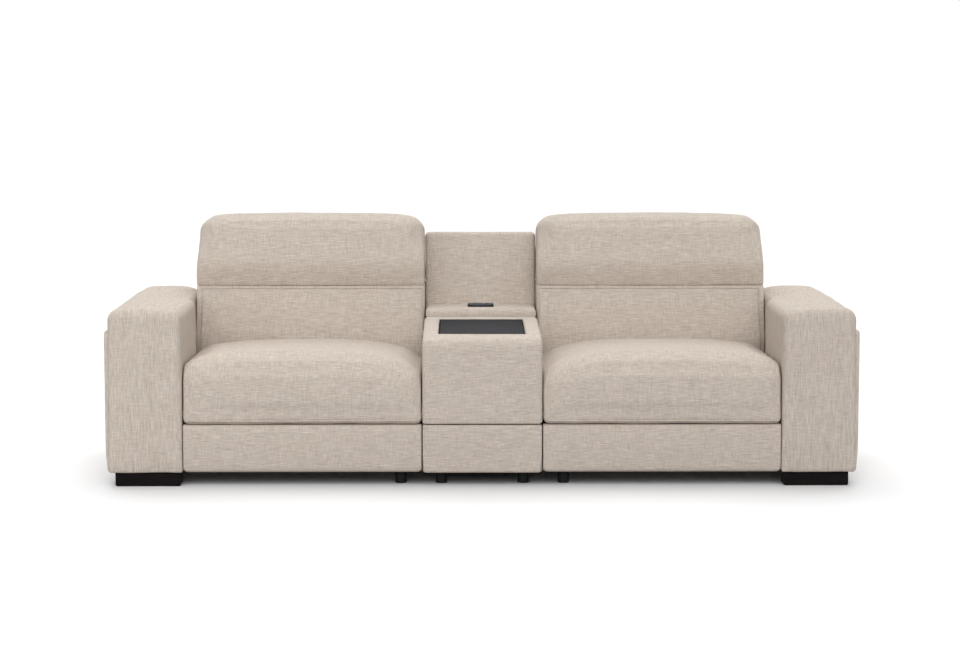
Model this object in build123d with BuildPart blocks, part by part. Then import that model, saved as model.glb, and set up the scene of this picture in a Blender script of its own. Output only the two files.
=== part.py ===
from build123d import *
import os
from math import atan2, cos, degrees, hypot, radians, sin

# Two-seat power reclining sofa with a fixed storage console between its seats, in millimetres.
#
# X runs across the sofa, to the right of someone facing it, -Y is its front and +Z is up.
# The origin is on the floor, under the middle of the sofa. A "depth" is measured back from the
# front faces of the arms, and a "height" is measured up from the floor.

os.makedirs("parts", exist_ok=True)

# ---------------------------------------------------------------- driving dimensions

overall_depth = 905.0           # arm fronts to the backs of the headrests
seat_bay_width = 800.0          # clear width between an arm and the console
console_width = 400.0

arm_width = 245.0
rear_overhang = 15.0            # headrests behind the arms
arm_height = 583.0              # at the arm's upper edges, before the crown
arm_crown = 12.0
arm_edge_radius = 25.0
arm_padding = 12.0
side_pad_thickness = 12.0
side_pad_height = 512.0
side_pad_setback = 8.0
side_pad_taper_height = 90.0
side_pad_toe = 3.0              # its thickness at the bottom edge
arm_board = 18.0
arm_recess = 20.0               # inner face cut back for the wider, sliding back
arm_recess_depth = 440.0        # where that starts

foot_height = 47.0
foot_depth = 60.0
foot_inset_outer = 20.0
foot_inset_inner = 8.0
foot_corner = 8.0
glide_radius = 19.0
glide_depth = 85.0
outer_glide_offset = 274.0      # from the sofa's centre line
inner_glide_offset = 138.0

seam_height = 208.0             # shadow line over the footrest boards and the console's base panel
seam_gap = 3.0
board_ground_gap = 49.0
side_clearance = 3.5            # moving upholstery to arm or console

footrest_pad_thickness = 22.0
footrest_board_thickness = 18.0
footrest_corner = 12.0
footrest_edge_radius = 8.0
footrest_lug_radius = 9.0

seat_crown_height = 450.0
seat_rear_height = 436.0
seat_edge_height = 388.0
seat_shoulder_radius = 36.0
seat_front_radius = 75.0
seat_corner = 20.0
back_space = 319.0              # seat cushion's rear to the backs of the headrests
seat_toe = 8.0                  # how far the cushion's bottom edge tucks back

base_rail_width = 20.0
base_rail_height = 40.0
base_rail_bottom = 80.0
base_rail_front = 90.0
base_rail_overrun = 104.0       # rails behind the seat cushion
slide_gap = 0.4                 # carriage runner over base rail

seat_board = 20.0
seat_board_front = 30.0
seat_deck_thickness = 12.0
webbing_thickness = 2.0
webbing_width = 50.0
webbing_bands = 7

link_thickness = 5.0
link_half_width = 9.0
link_side_gap = 1.5
inner_link_length = 150.0
inner_link_rest = -140.0        # degrees up from straight ahead
outer_link_length = 159.0
outer_link_rest = 32.0
link_pivot_depth = 70.0
link_pivot_drop = 18.0          # below the seam
torque_tube_radius = 9.0
link_pin_radius = 5.0
pin_clearance = 0.05

recline_pivot_setback = 54.0    # behind the seat cushion, as all the setbacks below
recline_pivot_height = 270.0
bracket_thickness = 6.0
bracket_half_width = 16.0
bracket_gap = 2.0
recline_pin_radius = 5.0

back_gap = 4.0                  # seat cushion to lumbar cushion
lumbar_bottom = 305.0
lumbar_knee = 438.0             # where the lumbar cushion shows above the seat
lumbar_top = 617.5
lumbar_top_setback = 54.0
lumbar_thickness = 100.0
lumbar_top_thickness = 72.0
back_bottom = 250.0
back_setback = 12.0             # outside back's top edge, in front of the headrest's rear
back_slant = 15.0               # how far its bottom edge stands further forward
back_skin = 14.0
back_clearance = 1.0            # sides of the back to the console
back_wing = 6.0                 # padded strip beside the lumbar cushion, on the console side
back_wing_setback = 9.0         # its front edge behind the cushion's face
back_board = 19.0
frame_bottom = 262.0

headrest_gap = 3.0
headrest_top = 873.0
headrest_top_setback = 184.0
headrest_front_setback = 32.0
headrest_corner = 52.0
headrest_rear_height = 765.0
headrest_board_thickness = 18.0
headrest_pivot_setback = 76.0
headrest_pivot_height = 604.0
headrest_pin_radius = 4.0
headrest_hinge_offset = 280.0   # hinge to the middle of its seat
headrest_leaf_thickness = 5.0
headrest_leaf_half_width = 8.5
headrest_leaf_gap = 2.0
hinge_plate_half = 17.0
hinge_plate_height = 26.0
headrest_board_setback = 38.0   # its front face behind the hinge pins
headrest_board_drop = 60.0      # its top edge under the cushion's top

cover_thickness = 14.0          # padding and fabric round the console
console_board = 15.0
console_front_height = 495.0
console_rear_height = 513.0
console_front_radius = 36.0
ledge_run = 194.0               # ledge, front to rear
lid_front_depth = 124.0
lid_margin = 64.0               # lid's rear edge to the ledge
lid_half_width = 146.0
lid_thickness = 36.0
lid_clearance = 1.5
lid_seat_gap = 0.4              # closed lid over its front stop
lid_stop_depth = 8.0
lid_stop_height = 12.0
lid_pin_radius = 3.5
bin_floor_height = 300.0
bin_wall = 5.0
bin_clearance = 0.5
ledge_height = 541.0
ledge_front_radius = 13.0
ledge_rear_setback = 182.0
console_back_top = 797.0
console_back_slant = 64.0       # how far the top of its front face stands behind the ledge
console_back_thickness = 54.0   # at the top
hub_width = 92.0
hub_depth = 66.0
hub_height = 6.0
hub_setback = 66.0              # from the ledge's front
hub_plate_thickness = 1.2

switch_depth = 285.0            # middle of the switch plate, from the front
switch_drop = 33.0              # its middle below the console's front edge
switch_length = 92.0
switch_tall = 40.0
switch_proud = 2.5
switch_body_depth = 11.0
rocker_length = 22.0
rocker_tall = 24.0
rocker_offset = 20.0
rocker_clearance = 1.0
rocker_proud = 2.5
rocker_pin_radius = 1.5

motor_width = 60.0
motor_length = 85.0
motor_corner = 6.0
headrest_motor_size = 50.0
headrest_motor_height = 150.0
push_rod_radius = 6.0
push_rod_reach = 121.0
screw_radius = 9.0
screw_height = 165.0
screw_front = 145.0

# ---------------------------------------------------------------- places worked out from them

arm_depth = overall_depth - rear_overhang
seat_cushion_depth = overall_depth - back_space
base_rail_rear = seat_cushion_depth + base_rail_overrun
recline_pivot_depth = seat_cushion_depth + recline_pivot_setback
lumbar_top_depth = seat_cushion_depth + lumbar_top_setback
headrest_top_depth = seat_cushion_depth + headrest_top_setback
headrest_front_depth = seat_cushion_depth + headrest_front_setback
headrest_pivot_depth = seat_cushion_depth + headrest_pivot_setback
ledge_rear_depth = seat_cushion_depth + ledge_rear_setback
console_top_depth = ledge_rear_depth - ledge_run
lid_rear_depth = console_top_depth - lid_margin
hub_front_depth = console_top_depth + hub_setback
back_rear_top_depth = overall_depth - back_setback
back_rear_bottom_depth = back_rear_top_depth - back_slant
console_back_top_depth = ledge_rear_depth + console_back_slant
console_back_depth = console_back_top_depth + console_back_thickness

bay_half = seat_bay_width / 2
console_half = console_width / 2
bay_centre = console_half + bay_half
arm_inner = console_half + seat_bay_width
arm_outer = arm_inner + arm_width
cushion_half = bay_half - side_clearance

board_top = seam_height - seam_gap / 2
cushion_bottom = seam_height + seam_gap / 2
board_back = footrest_pad_thickness + footrest_board_thickness

rail_top = base_rail_bottom + base_rail_height
rail_inner = bay_half - base_rail_width
seat_rail_outer = rail_inner + 12.0
seat_rail_inner = seat_rail_outer - seat_board
deck_top = cushion_bottom + seat_deck_thickness
webbing_top = deck_top + webbing_thickness
seat_frame_rear = seat_cushion_depth

link_pivot = (link_pivot_depth, seam_height - link_pivot_drop)


def reach(start, length, angle):
    """The far end of a link that leaves start at an angle up from straight ahead."""
    return (start[0] - length * cos(radians(angle)), start[1] + length * sin(radians(angle)))


knee_pivot = reach(link_pivot, inner_link_length, inner_link_rest)
board_pivot = reach(knee_pivot, outer_link_length, outer_link_rest)
inner_link_face = seat_rail_inner - 1.0
outer_link_face = inner_link_face - link_thickness - link_side_gap
lug_face = outer_link_face - link_thickness - link_side_gap

recline_pivot = (recline_pivot_depth, recline_pivot_height)
headrest_pivot = (headrest_pivot_depth, headrest_pivot_height)
lumbar_front = seat_cushion_depth + back_gap
lumbar_rear = lumbar_front + lumbar_thickness
lumbar_rear_top = lumbar_top_depth + lumbar_top_thickness
headrest_bottom = lumbar_top + headrest_gap
back_board_outer = cushion_half - back_skin
back_board_inner = back_board_outer - back_board
seat_plate_outer = back_board_inner - bracket_thickness - bracket_gap

cover_base = cushion_bottom
bin_rear = lid_rear_depth + lid_clearance + bin_wall
bin_front = lid_front_depth - lid_clearance - bin_wall
bin_half = lid_half_width + lid_clearance + bin_wall


def y_at(depth):
    """Y of a point at a depth behind the arm fronts."""
    return depth - overall_depth / 2


def lid_line(depth):
    """Height of the console's sloping top at a depth."""
    rise = console_rear_height - console_front_height
    run = console_top_depth - console_front_radius
    return console_front_height + rise * (depth - console_front_radius) / run


def back_line(height, inset=0.0):
    """Depth of the back's rear face at a height, or of a line inside it."""
    slope = (back_rear_top_depth - back_rear_bottom_depth) / (lumbar_top - back_bottom)
    return back_rear_bottom_depth + slope * (height - back_bottom) - inset


def lumbar_back_line(height):
    """Depth of the lumbar cushion's rear face at a height."""
    slope = (lumbar_rear_top - lumbar_rear) / (lumbar_top - lumbar_bottom)
    return lumbar_rear + slope * (height - lumbar_bottom)


def block(across, depths, heights, mode=Mode.ADD):
    """A box between two X values, two depths and two heights."""
    centre = (sum(across) / 2, y_at(sum(depths) / 2), sum(heights) / 2)
    with Locations(centre):
        Box(abs(across[1] - across[0]), depths[1] - depths[0], heights[1] - heights[0], mode=mode)


def side_panel(across, points, mode=Mode.ADD):
    """A straight-edged side outline of (depth, height) points, given its width across."""
    low, high = min(across), max(across)
    with BuildSketch(Plane.YZ.offset(low)) as outline:
        with BuildLine():
            Polyline([(y_at(depth), height) for depth, height in points], close=True)
        make_face()
    extrude(outline.sketch, amount=high - low, mode=mode)


def cross_rod(across, place, radius, mode=Mode.ADD):
    """A round bar or hole along X through a (depth, height) place."""
    low, high = min(across), max(across)
    with Locations(Location(((low + high) / 2, y_at(place[0]), place[1]), (0, 90, 0))):
        Cylinder(radius, high - low, mode=mode)


def strap(across, start, end, half_width, bore=0.0):
    """A round-ended plate between two (depth, height) places, with a hole at each place if bored."""
    low, high = min(across), max(across)
    run = end[0] - start[0]
    rise = end[1] - start[1]
    middle = (y_at((start[0] + end[0]) / 2), (start[1] + end[1]) / 2)
    with BuildSketch(Plane.YZ.offset(low)) as outline:
        with Locations(middle):
            SlotCenterToCenter(hypot(run, rise), 2 * half_width, rotation=degrees(atan2(rise, run)))
    extrude(outline.sketch, amount=high - low)
    if bore:
        for place in (start, end):
            cross_rod(across, place, bore, mode=Mode.SUBTRACT)


def save(part, name):
    """Label a finished piece and write it."""
    part.part.label = name
    export_step(part.part, f"parts/{name}.step")


# ---------------------------------------------------------------- arms


def arm_outline(inset, sign):
    """Front view of an arm, inset all round: square base, crowned top, eased upper edges."""
    near = arm_inner + inset
    far = arm_outer - inset
    shoulder = arm_height - inset
    with BuildSketch(Plane.XZ.offset(-y_at(inset))) as outline:
        with BuildLine():
            Polyline((sign * far, shoulder), (sign * far, foot_height), (sign * near, foot_height),
                     (sign * near, shoulder))
            ThreePointArc((sign * near, shoulder), (sign * (near + far) / 2, shoulder + arm_crown),
                          (sign * far, shoulder))
        make_face()
        fillet(outline.vertices().group_by(Axis.Y)[-1], arm_edge_radius - inset)
    return outline.sketch


def recess_block(inset, sign):
    """Cuts back the rear part of an arm's inner face, leaving room for padding of the given inset."""
    block((sign * (arm_inner - 1), sign * (arm_inner + arm_recess + inset)),
          (arm_recess_depth - inset, arm_depth + 1), (0, arm_height + 2 * arm_crown), mode=Mode.SUBTRACT)


def make_arm_frame(sign):
    """Plywood box frame of an arm, open at the rear under the cover."""
    with BuildPart() as arm_frame:
        extrude(arm_outline(arm_padding, sign), amount=-(arm_depth - 2 * arm_padding))
        recess_block(arm_padding, sign)
        hollow_near = arm_inner + arm_recess + arm_padding + arm_board
        hollow_far = arm_outer - arm_padding - arm_board
        block((sign * hollow_near, sign * hollow_far),
              (arm_padding + arm_board, arm_depth),
              (foot_height + arm_board, arm_height - arm_padding - arm_board),
              mode=Mode.SUBTRACT)
    return arm_frame


def make_arm_cover(sign):
    """Foam and fabric round the arm frame, open underneath, in a front and a rear length."""
    with BuildPart() as padding:
        extrude(arm_outline(0, sign), amount=-arm_depth)
        for end in (0, -1):
            rim = padding.faces().sort_by(Axis.Y)[end].edges()
            fillet(rim.filter_by(lambda edge: edge.center().Z > foot_height + 1), arm_padding - 1)
        recess_block(0, sign)
    with BuildPart() as core:
        extrude(arm_outline(arm_padding, sign), amount=-(arm_depth - 2 * arm_padding))
        recess_block(arm_padding, sign)
    with BuildPart() as arm_cover:
        add(padding.part - core.part)
        split(bisect_by=Plane.XZ.offset(-y_at(arm_recess_depth)), keep=Keep.BOTH)
    return arm_cover


def make_side_pad(sign):
    """Padded panel on the outside of an arm, thinner towards the floor."""
    toe_height = foot_height + side_pad_taper_height
    with BuildPart() as side_pad:
        with BuildSketch(Plane.XZ.offset(-y_at(side_pad_setback))):
            with BuildLine():
                Polyline((sign * arm_outer, foot_height),
                         (sign * (arm_outer + side_pad_toe), foot_height),
                         (sign * (arm_outer + side_pad_thickness), toe_height),
                         (sign * (arm_outer + side_pad_thickness), side_pad_height),
                         (sign * arm_outer, side_pad_height), close=True)
            make_face()
        extrude(amount=-(arm_depth - 2 * side_pad_setback))
        outer = side_pad.edges().group_by(Axis.X)[-1 if sign > 0 else 0]
        fillet(outer.filter_by(Axis.Z), side_pad_thickness - 2)
        top = side_pad.edges().filter_by(Axis.Y).group_by(Axis.Z)[-1]
        fillet(top.sort_by(Axis.X)[-1 if sign > 0 else 0], side_pad_thickness - 2)
    return side_pad


for side, sign in (("left", -1), ("right", 1)):
    save(make_arm_frame(sign), f"{side}_arm_frame")
    save(make_arm_cover(sign), f"{side}_arm_cover")
    save(make_side_pad(sign), f"{side}_arm_side_pad")

# Block feet, screwed up into the bottom boards of the arm frames.
foot_width = arm_width - foot_inset_outer - foot_inset_inner
foot_centre = arm_inner + foot_inset_inner + foot_width / 2
with BuildPart() as arm_feet:
    for foot_x in (-foot_centre, foot_centre):
        for foot_front in (arm_padding, arm_depth - arm_padding - foot_depth):
            with Locations((foot_x, y_at(foot_front + foot_depth / 2), foot_height / 2)):
                Box(foot_width, foot_depth, foot_height)
    fillet(arm_feet.edges().filter_by(Axis.Y).group_by(Axis.Z)[0], foot_corner)
save(arm_feet, "arm_feet")

# ---------------------------------------------------------------- base frames under the seats

cross_tube_front = knee_pivot[0] + link_half_width + 16.0
cross_tube_depth = 25.0
cross_tube_height = 40.0
cross_tube_bottom = 60.0
cross_tube_top = cross_tube_bottom + cross_tube_height
rear_tube_front = base_rail_rear - 50.0
glide_arm_half = 14.0
glide_arm_top = 80.0
drive_lug_half = 20.0
drive_lug_clearance = 0.5


def make_base_frame(sign):
    """Welded steel frame bolted between arm and console, with the recline motor's drive lug."""
    centre = sign * bay_centre
    glide_x = sign * outer_glide_offset
    with BuildPart() as base_frame:
        for rail_side in (-1, 1):
            rail = (centre + rail_side * rail_inner, centre + rail_side * bay_half)
            block(rail, (base_rail_front, base_rail_rear), (base_rail_bottom, rail_top))
        for tube_front, overreach in ((cross_tube_front, cover_thickness), (rear_tube_front, side_clearance)):
            arm_end = centre + sign * bay_half
            console_end = centre - sign * (bay_half + overreach)
            block((console_end, arm_end), (tube_front, tube_front + cross_tube_depth),
                  (cross_tube_bottom, cross_tube_top))
        glide_arm = (glide_x - glide_arm_half, glide_x + glide_arm_half)
        block(glide_arm, (glide_depth - glide_radius, cross_tube_front + 1), (cross_tube_bottom, glide_arm_top))
        block((centre - drive_lug_half, centre + drive_lug_half),
              (cross_tube_front, cross_tube_front + cross_tube_depth),
              (cross_tube_top - 1, screw_height + drive_lug_half))
        with Locations(Location((centre, y_at(cross_tube_front + cross_tube_depth / 2), screw_height),
                                (90, 0, 0))):
            Cylinder(screw_radius + drive_lug_clearance, cross_tube_depth + 2, mode=Mode.SUBTRACT)
    return base_frame


save(make_base_frame(-1), "left_base_frame")
save(make_base_frame(1), "right_base_frame")

# ---------------------------------------------------------------- seats and footrests


def make_seat_frame(centre):
    """Seat box: side boards that run on the base rails, front and rear boards and a deck slat."""
    inner = (centre - seat_rail_inner - 1, centre + seat_rail_inner + 1)
    rail_board_bottom = rail_top + slide_gap
    cross_board_bottom = seam_height - 28.0
    with BuildPart() as seat_frame:
        for rail_side in (-1, 1):
            rail = (centre + rail_side * seat_rail_inner, centre + rail_side * seat_rail_outer)
            block(rail, (link_pivot_depth - 22, seat_frame_rear), (rail_board_bottom, deck_top))
        block(inner, (seat_board_front, link_pivot_depth + 50), (cushion_bottom, deck_top))
        block(inner, (link_pivot_depth + 26, link_pivot_depth + 50), (cross_board_bottom, cushion_bottom + 1))
        block(inner, (seat_frame_rear - 26, seat_frame_rear), (cross_board_bottom, deck_top))
        cross_rod((centre - seat_rail_outer, centre + seat_rail_outer), link_pivot,
                  torque_tube_radius + pin_clearance, mode=Mode.SUBTRACT)
    return seat_frame


def make_webbing(centre):
    """Elastic webbing bands stapled over the front slat and the rear board."""
    usable = 2 * (seat_rail_inner - webbing_width / 2 - 8)
    pitch = usable / (webbing_bands - 1)
    with BuildPart() as webbing:
        for band in range(webbing_bands):
            middle = centre - usable / 2 + band * pitch
            block((middle - webbing_width / 2, middle + webbing_width / 2),
                  (seat_board_front + 10, seat_frame_rear - 4), (deck_top, webbing_top))
    return webbing


def make_seat_cushion(centre):
    """Foam seat cushion with a rolled front edge and a crown, hollow underneath for the deck."""
    with BuildPart() as seat_cushion:
        with BuildSketch(Plane.YZ.offset(centre - cushion_half)):
            with BuildLine():
                Polyline((y_at(0), seat_crown_height - seat_front_radius), (y_at(0), cushion_bottom + 16),
                         (y_at(seat_toe), cushion_bottom), (y_at(seat_cushion_depth), cushion_bottom),
                         (y_at(seat_cushion_depth), seat_rear_height),
                         (y_at(seat_front_radius), seat_crown_height))
                RadiusArc((y_at(seat_front_radius), seat_crown_height),
                          (y_at(0), seat_crown_height - seat_front_radius), -seat_front_radius)
            make_face()
        extrude(amount=2 * cushion_half)
        with BuildSketch(Plane.XZ.offset(-y_at(-1))) as seat_front:
            with BuildLine():
                Polyline((centre - cushion_half, seat_edge_height), (centre - cushion_half, cushion_bottom),
                         (centre + cushion_half, cushion_bottom), (centre + cushion_half, seat_edge_height))
                ThreePointArc((centre + cushion_half, seat_edge_height), (centre, seat_crown_height),
                              (centre - cushion_half, seat_edge_height))
            make_face()
            fillet(seat_front.vertices().group_by(Axis.Y)[0], seat_corner)
            fillet(seat_front.vertices().group_by(Axis.Y)[-1], seat_shoulder_radius)
        extrude(amount=-(seat_cushion_depth + 2), mode=Mode.INTERSECT)
        block((centre - seat_rail_outer, centre + seat_rail_outer), (seat_board_front, seat_cushion_depth + 1),
              (cushion_bottom - 1, deck_top), mode=Mode.SUBTRACT)
        block((centre - seat_rail_inner, centre + seat_rail_inner), (seat_board_front, seat_cushion_depth + 1),
              (deck_top - 1, webbing_top), mode=Mode.SUBTRACT)
    return seat_cushion


def make_recline_brackets(centre):
    """Steel brackets on the seat's rear board that carry the recline pivot pins."""
    with BuildPart() as brackets:
        for bracket_side in (-1, 1):
            outer = centre + bracket_side * seat_plate_outer
            plate = (outer - bracket_side * bracket_thickness, outer)
            foot = (seat_frame_rear + bracket_half_width, cushion_bottom - 8)
            strap(plate, foot, recline_pivot, bracket_half_width)
            block((outer - bracket_side * 52, outer), (seat_frame_rear, seat_frame_rear + bracket_thickness),
                  (seam_height - 30, deck_top))
            pin_end = centre + bracket_side * (back_board_inner + 3)
            cross_rod((outer - bracket_side, pin_end), recline_pivot, recline_pin_radius)
    return brackets


def make_recline_drive(centre):
    """Recline motor under the seat's rear board, with its screw tube."""
    motor_rear = seat_frame_rear - 26
    with BuildPart() as recline_drive:
        block((centre - motor_width / 2, centre + motor_width / 2), (motor_rear - motor_length, motor_rear),
              (screw_height - 28, seam_height - 1))
        fillet(recline_drive.edges().filter_by(Axis.Y), motor_corner)
        screw_length = motor_rear - motor_length - screw_front + 1
        with Locations(Location((centre, y_at(screw_front + screw_length / 2), screw_height), (90, 0, 0))):
            Cylinder(screw_radius, screw_length)
    return recline_drive


def make_inner_links(centre):
    """Torque tube with a link at each end: the first stage of the footrest linkage."""
    with BuildPart() as inner_links:
        cross_rod((centre - seat_rail_outer, centre + seat_rail_outer), link_pivot, torque_tube_radius)
        for link_side in (-1, 1):
            face = centre + link_side * inner_link_face
            plate = (face - link_side * link_thickness, face)
            strap(plate, link_pivot, knee_pivot, link_half_width)
            knee_pin = (face - link_side, face - link_side * (2 * link_thickness + link_side_gap + 1))
            cross_rod(knee_pin, knee_pivot, link_pin_radius)
    return inner_links


def make_outer_links(centre):
    """Second-stage links, each with the pin that carries the footrest board."""
    with BuildPart() as outer_links:
        for link_side in (-1, 1):
            face = centre + link_side * outer_link_face
            plate = (face - link_side * link_thickness, face)
            strap(plate, knee_pivot, board_pivot, link_half_width)
            cross_rod(plate, knee_pivot, link_pin_radius + pin_clearance, mode=Mode.SUBTRACT)
            board_pin = (face - link_side, face - link_side * (2 * link_thickness + link_side_gap + 1))
            cross_rod(board_pin, board_pivot, link_pin_radius - 1)
    return outer_links


def make_footrest_board(centre):
    """Plywood footrest board with a steel lug at each side."""
    with BuildPart() as board:
        block((centre - cushion_half, centre + cushion_half), (footrest_pad_thickness, board_back),
              (board_ground_gap, board_top))
        fillet(board.edges().filter_by(Axis.Y).group_by(Axis.Z)[0], footrest_corner)
        for lug_side in (-1, 1):
            face = centre + lug_side * lug_face
            plate = (face - lug_side * link_thickness, face)
            block(plate, (board_back - 1, board_pivot[0]),
                  (board_pivot[1] - footrest_lug_radius, board_pivot[1] + footrest_lug_radius))
            cross_rod(plate, board_pivot, footrest_lug_radius)
            cross_rod(plate, board_pivot, link_pin_radius - 1 + pin_clearance, mode=Mode.SUBTRACT)
    return board


def make_footrest_pad(centre):
    """Foam and fabric on the front of a footrest board."""
    with BuildPart() as pad:
        block((centre - cushion_half, centre + cushion_half), (0, footrest_pad_thickness),
              (board_ground_gap, board_top))
        fillet(pad.edges().filter_by(Axis.Y).group_by(Axis.Z)[0], footrest_corner)
        fillet(pad.faces().sort_by(Axis.Y)[0].edges(), footrest_edge_radius)
    return pad


# ---------------------------------------------------------------- backs and headrests


def make_back_frame(centre):
    """Plywood back frame: two shaped side boards and cross rails."""
    across = (centre - back_board_inner - 1, centre + back_board_inner + 1)
    frame_top = lumbar_top - 5
    with BuildPart() as back_frame:
        for board_side in (-1, 1):
            board = (centre + board_side * back_board_inner, centre + board_side * back_board_outer)
            side_panel(board, ((lumbar_rear, frame_bottom), (lumbar_rear, lumbar_bottom),
                               (lumbar_back_line(frame_top), frame_top),
                               (back_line(frame_top, back_skin), frame_top),
                               (back_line(frame_bottom, back_skin), frame_bottom)))
        rail_front = lumbar_back_line(frame_top) + 2
        block(across, (rail_front, rail_front + 22), (frame_top - 38, frame_top - 6))
        block(across, (lumbar_rear + 12, back_line(lumbar_bottom, back_skin + 3)),
              (lumbar_bottom - 14, lumbar_bottom))
        rear_rail = back_line(frame_top - 40, back_skin + 1)
        block(across, (rear_rail - 22, rear_rail), (frame_top - 40, frame_top - 2))
    return back_frame


def back_sides(centre, inset_console=0.0, inset_arm=0.0):
    """X of the back's console side and of its arm side, which stands in the arm's recess."""
    outward = 1 if centre > 0 else -1
    console_side = centre - outward * (bay_half - back_clearance - inset_console)
    arm_side = centre + outward * (bay_half + arm_recess - side_clearance - inset_arm)
    return (console_side, arm_side)


def lumbar_sides(centre):
    """X of the lumbar cushion's two sides, between the wings of the outside back."""
    return back_sides(centre, back_wing, arm_recess - side_clearance - back_clearance)


def make_lumbar_cushion(centre):
    """Lower back cushion, standing behind the seat cushion and leaning back above it."""
    with BuildPart() as lumbar:
        side_panel(lumbar_sides(centre),
                   ((lumbar_front, lumbar_bottom), (lumbar_front, lumbar_knee),
                    (lumbar_top_depth, lumbar_top), (lumbar_rear_top, lumbar_top),
                    (lumbar_rear, lumbar_bottom)))
        for hinge_side in (-1, 1):
            middle = centre + hinge_side * headrest_hinge_offset
            block((middle - 20, middle + 20), (headrest_pivot_depth - 18, lumbar_rear_top + 1),
                  (headrest_pivot_height - 32, lumbar_top + 1), mode=Mode.SUBTRACT)
    return lumbar


def make_outside_back(centre):
    """Padded outside back round the back frame, with wings that reach forward beside the cushion."""
    wing_front = lumbar_front + back_wing_setback
    with BuildPart() as outside_back:
        side_panel(back_sides(centre),
                   ((wing_front, back_bottom), (wing_front, lumbar_knee),
                    (lumbar_top_depth + back_wing_setback, lumbar_top), (back_rear_top_depth, lumbar_top),
                    (back_rear_bottom_depth, back_bottom)))
        low = back_bottom - 50
        high = lumbar_top + 50
        side_panel(lumbar_sides(centre),
                   ((lumbar_front - 1, low), (lumbar_front - 1, high), (lumbar_rear_top + 2, high),
                    (lumbar_rear_top + 2, lumbar_top), (lumbar_rear + 2, lumbar_bottom), (lumbar_rear + 2, low)),
                   mode=Mode.SUBTRACT)
        side_panel((centre - back_board_outer, centre + back_board_outer),
                   ((lumbar_front, low), (lumbar_front, high), (back_line(high, back_skin), high),
                    (back_line(low, back_skin), low)), mode=Mode.SUBTRACT)
    return outside_back


def make_back_brackets(centre):
    """Steel plates on the back's side boards that turn on the recline pins."""
    far = (lumbar_rear + 70, recline_pivot_height + 6)
    with BuildPart() as brackets:
        for bracket_side in (-1, 1):
            outer = centre + bracket_side * back_board_inner
            plate = (outer - bracket_side * bracket_thickness, outer)
            strap(plate, recline_pivot, far, bracket_half_width - 4)
            cross_rod(plate, recline_pivot, recline_pin_radius + pin_clearance, mode=Mode.SUBTRACT)
    return brackets


def headrest_hinge_sides(centre):
    """The X places of the two headrest hinges of a seat."""
    return (centre - headrest_hinge_offset, centre + headrest_hinge_offset)


def make_headrest_hinges(centre):
    """Hinge leaves on the back frame's top rail, each with its fixed pin."""
    rail_front = lumbar_back_line(lumbar_top - 5) + 2
    with BuildPart() as hinges:
        for middle in headrest_hinge_sides(centre):
            for leaf_side in (-1, 1):
                near = middle + leaf_side * (headrest_leaf_thickness + headrest_leaf_gap)
                leaf = (near, near + leaf_side * headrest_leaf_thickness)
                root = (rail_front - headrest_leaf_half_width, headrest_pivot_height - 6)
                strap(leaf, headrest_pivot, root, headrest_leaf_half_width)
            block((middle - hinge_plate_half, middle + hinge_plate_half), (rail_front - 6, rail_front),
                  (headrest_pivot_height - 2 - hinge_plate_height, headrest_pivot_height - 2))
            pin_half = headrest_leaf_thickness + headrest_leaf_gap + 2
            cross_rod((middle - pin_half, middle + pin_half), headrest_pivot, headrest_pin_radius)
    return hinges


def make_headrest_board(centre):
    """Plywood board in the headrest, with the knuckles that turn on the hinge pins."""
    board_depth = headrest_pivot_depth + headrest_board_setback
    with BuildPart() as board:
        block((centre - back_board_inner, centre + back_board_inner),
              (board_depth, board_depth + headrest_board_thickness),
              (headrest_bottom + 4, headrest_top - headrest_board_drop))
        for middle in headrest_hinge_sides(centre):
            knuckle = (middle - headrest_leaf_thickness, middle + headrest_leaf_thickness)
            strap(knuckle, headrest_pivot, (board_depth + headrest_leaf_half_width, headrest_bottom + 25),
                  headrest_leaf_half_width)
            cross_rod(knuckle, headrest_pivot, headrest_pin_radius + pin_clearance, mode=Mode.SUBTRACT)
    return board


def make_headrest_cushion(centre):
    """Headrest cushion, rounded over the top and undercut where it tips over the lumbar cushion."""
    board_depth = headrest_pivot_depth + headrest_board_setback
    rear_low = back_rear_top_depth
    sides = back_sides(centre)
    width = abs(sides[1] - sides[0])
    with BuildPart() as headrest:
        with BuildSketch(Plane.YZ.offset(min(sides))):
            with BuildLine():
                Polyline((y_at(headrest_front_depth), headrest_bottom + 80),
                         (y_at(headrest_pivot_depth - 22), headrest_bottom + 28),
                         (y_at(headrest_pivot_depth + 6), headrest_bottom),
                         (y_at(rear_low), headrest_bottom), (y_at(overall_depth), headrest_rear_height))
                ThreePointArc((y_at(overall_depth), headrest_rear_height),
                              (y_at(overall_depth - 32), headrest_top - 31),
                              (y_at(headrest_top_depth), headrest_top))
                ThreePointArc((y_at(headrest_top_depth), headrest_top),
                              (y_at(headrest_front_depth + 37), headrest_top - 48),
                              (y_at(headrest_front_depth), headrest_bottom + 80))
            make_face()
        extrude(amount=width)
        with BuildSketch(Plane.XZ.offset(-y_at(headrest_front_depth - 1))):
            with Locations((sum(sides) / 2, (headrest_top + headrest_bottom) / 2 - headrest_corner)):
                RectangleRounded(width, headrest_top - headrest_bottom + 2 * headrest_corner, headrest_corner)
        extrude(amount=-(overall_depth - headrest_front_depth + 2), mode=Mode.INTERSECT)
        block((centre - back_board_inner, centre + back_board_inner),
              (board_depth, board_depth + headrest_board_thickness),
              (headrest_bottom - 1, headrest_top - headrest_board_drop), mode=Mode.SUBTRACT)
        for middle in headrest_hinge_sides(centre):
            block((middle - 9, middle + 9), (headrest_pivot_depth - 12, board_depth + 1),
                  (headrest_bottom - 1, headrest_pivot_height + 62), mode=Mode.SUBTRACT)
    return headrest


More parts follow.
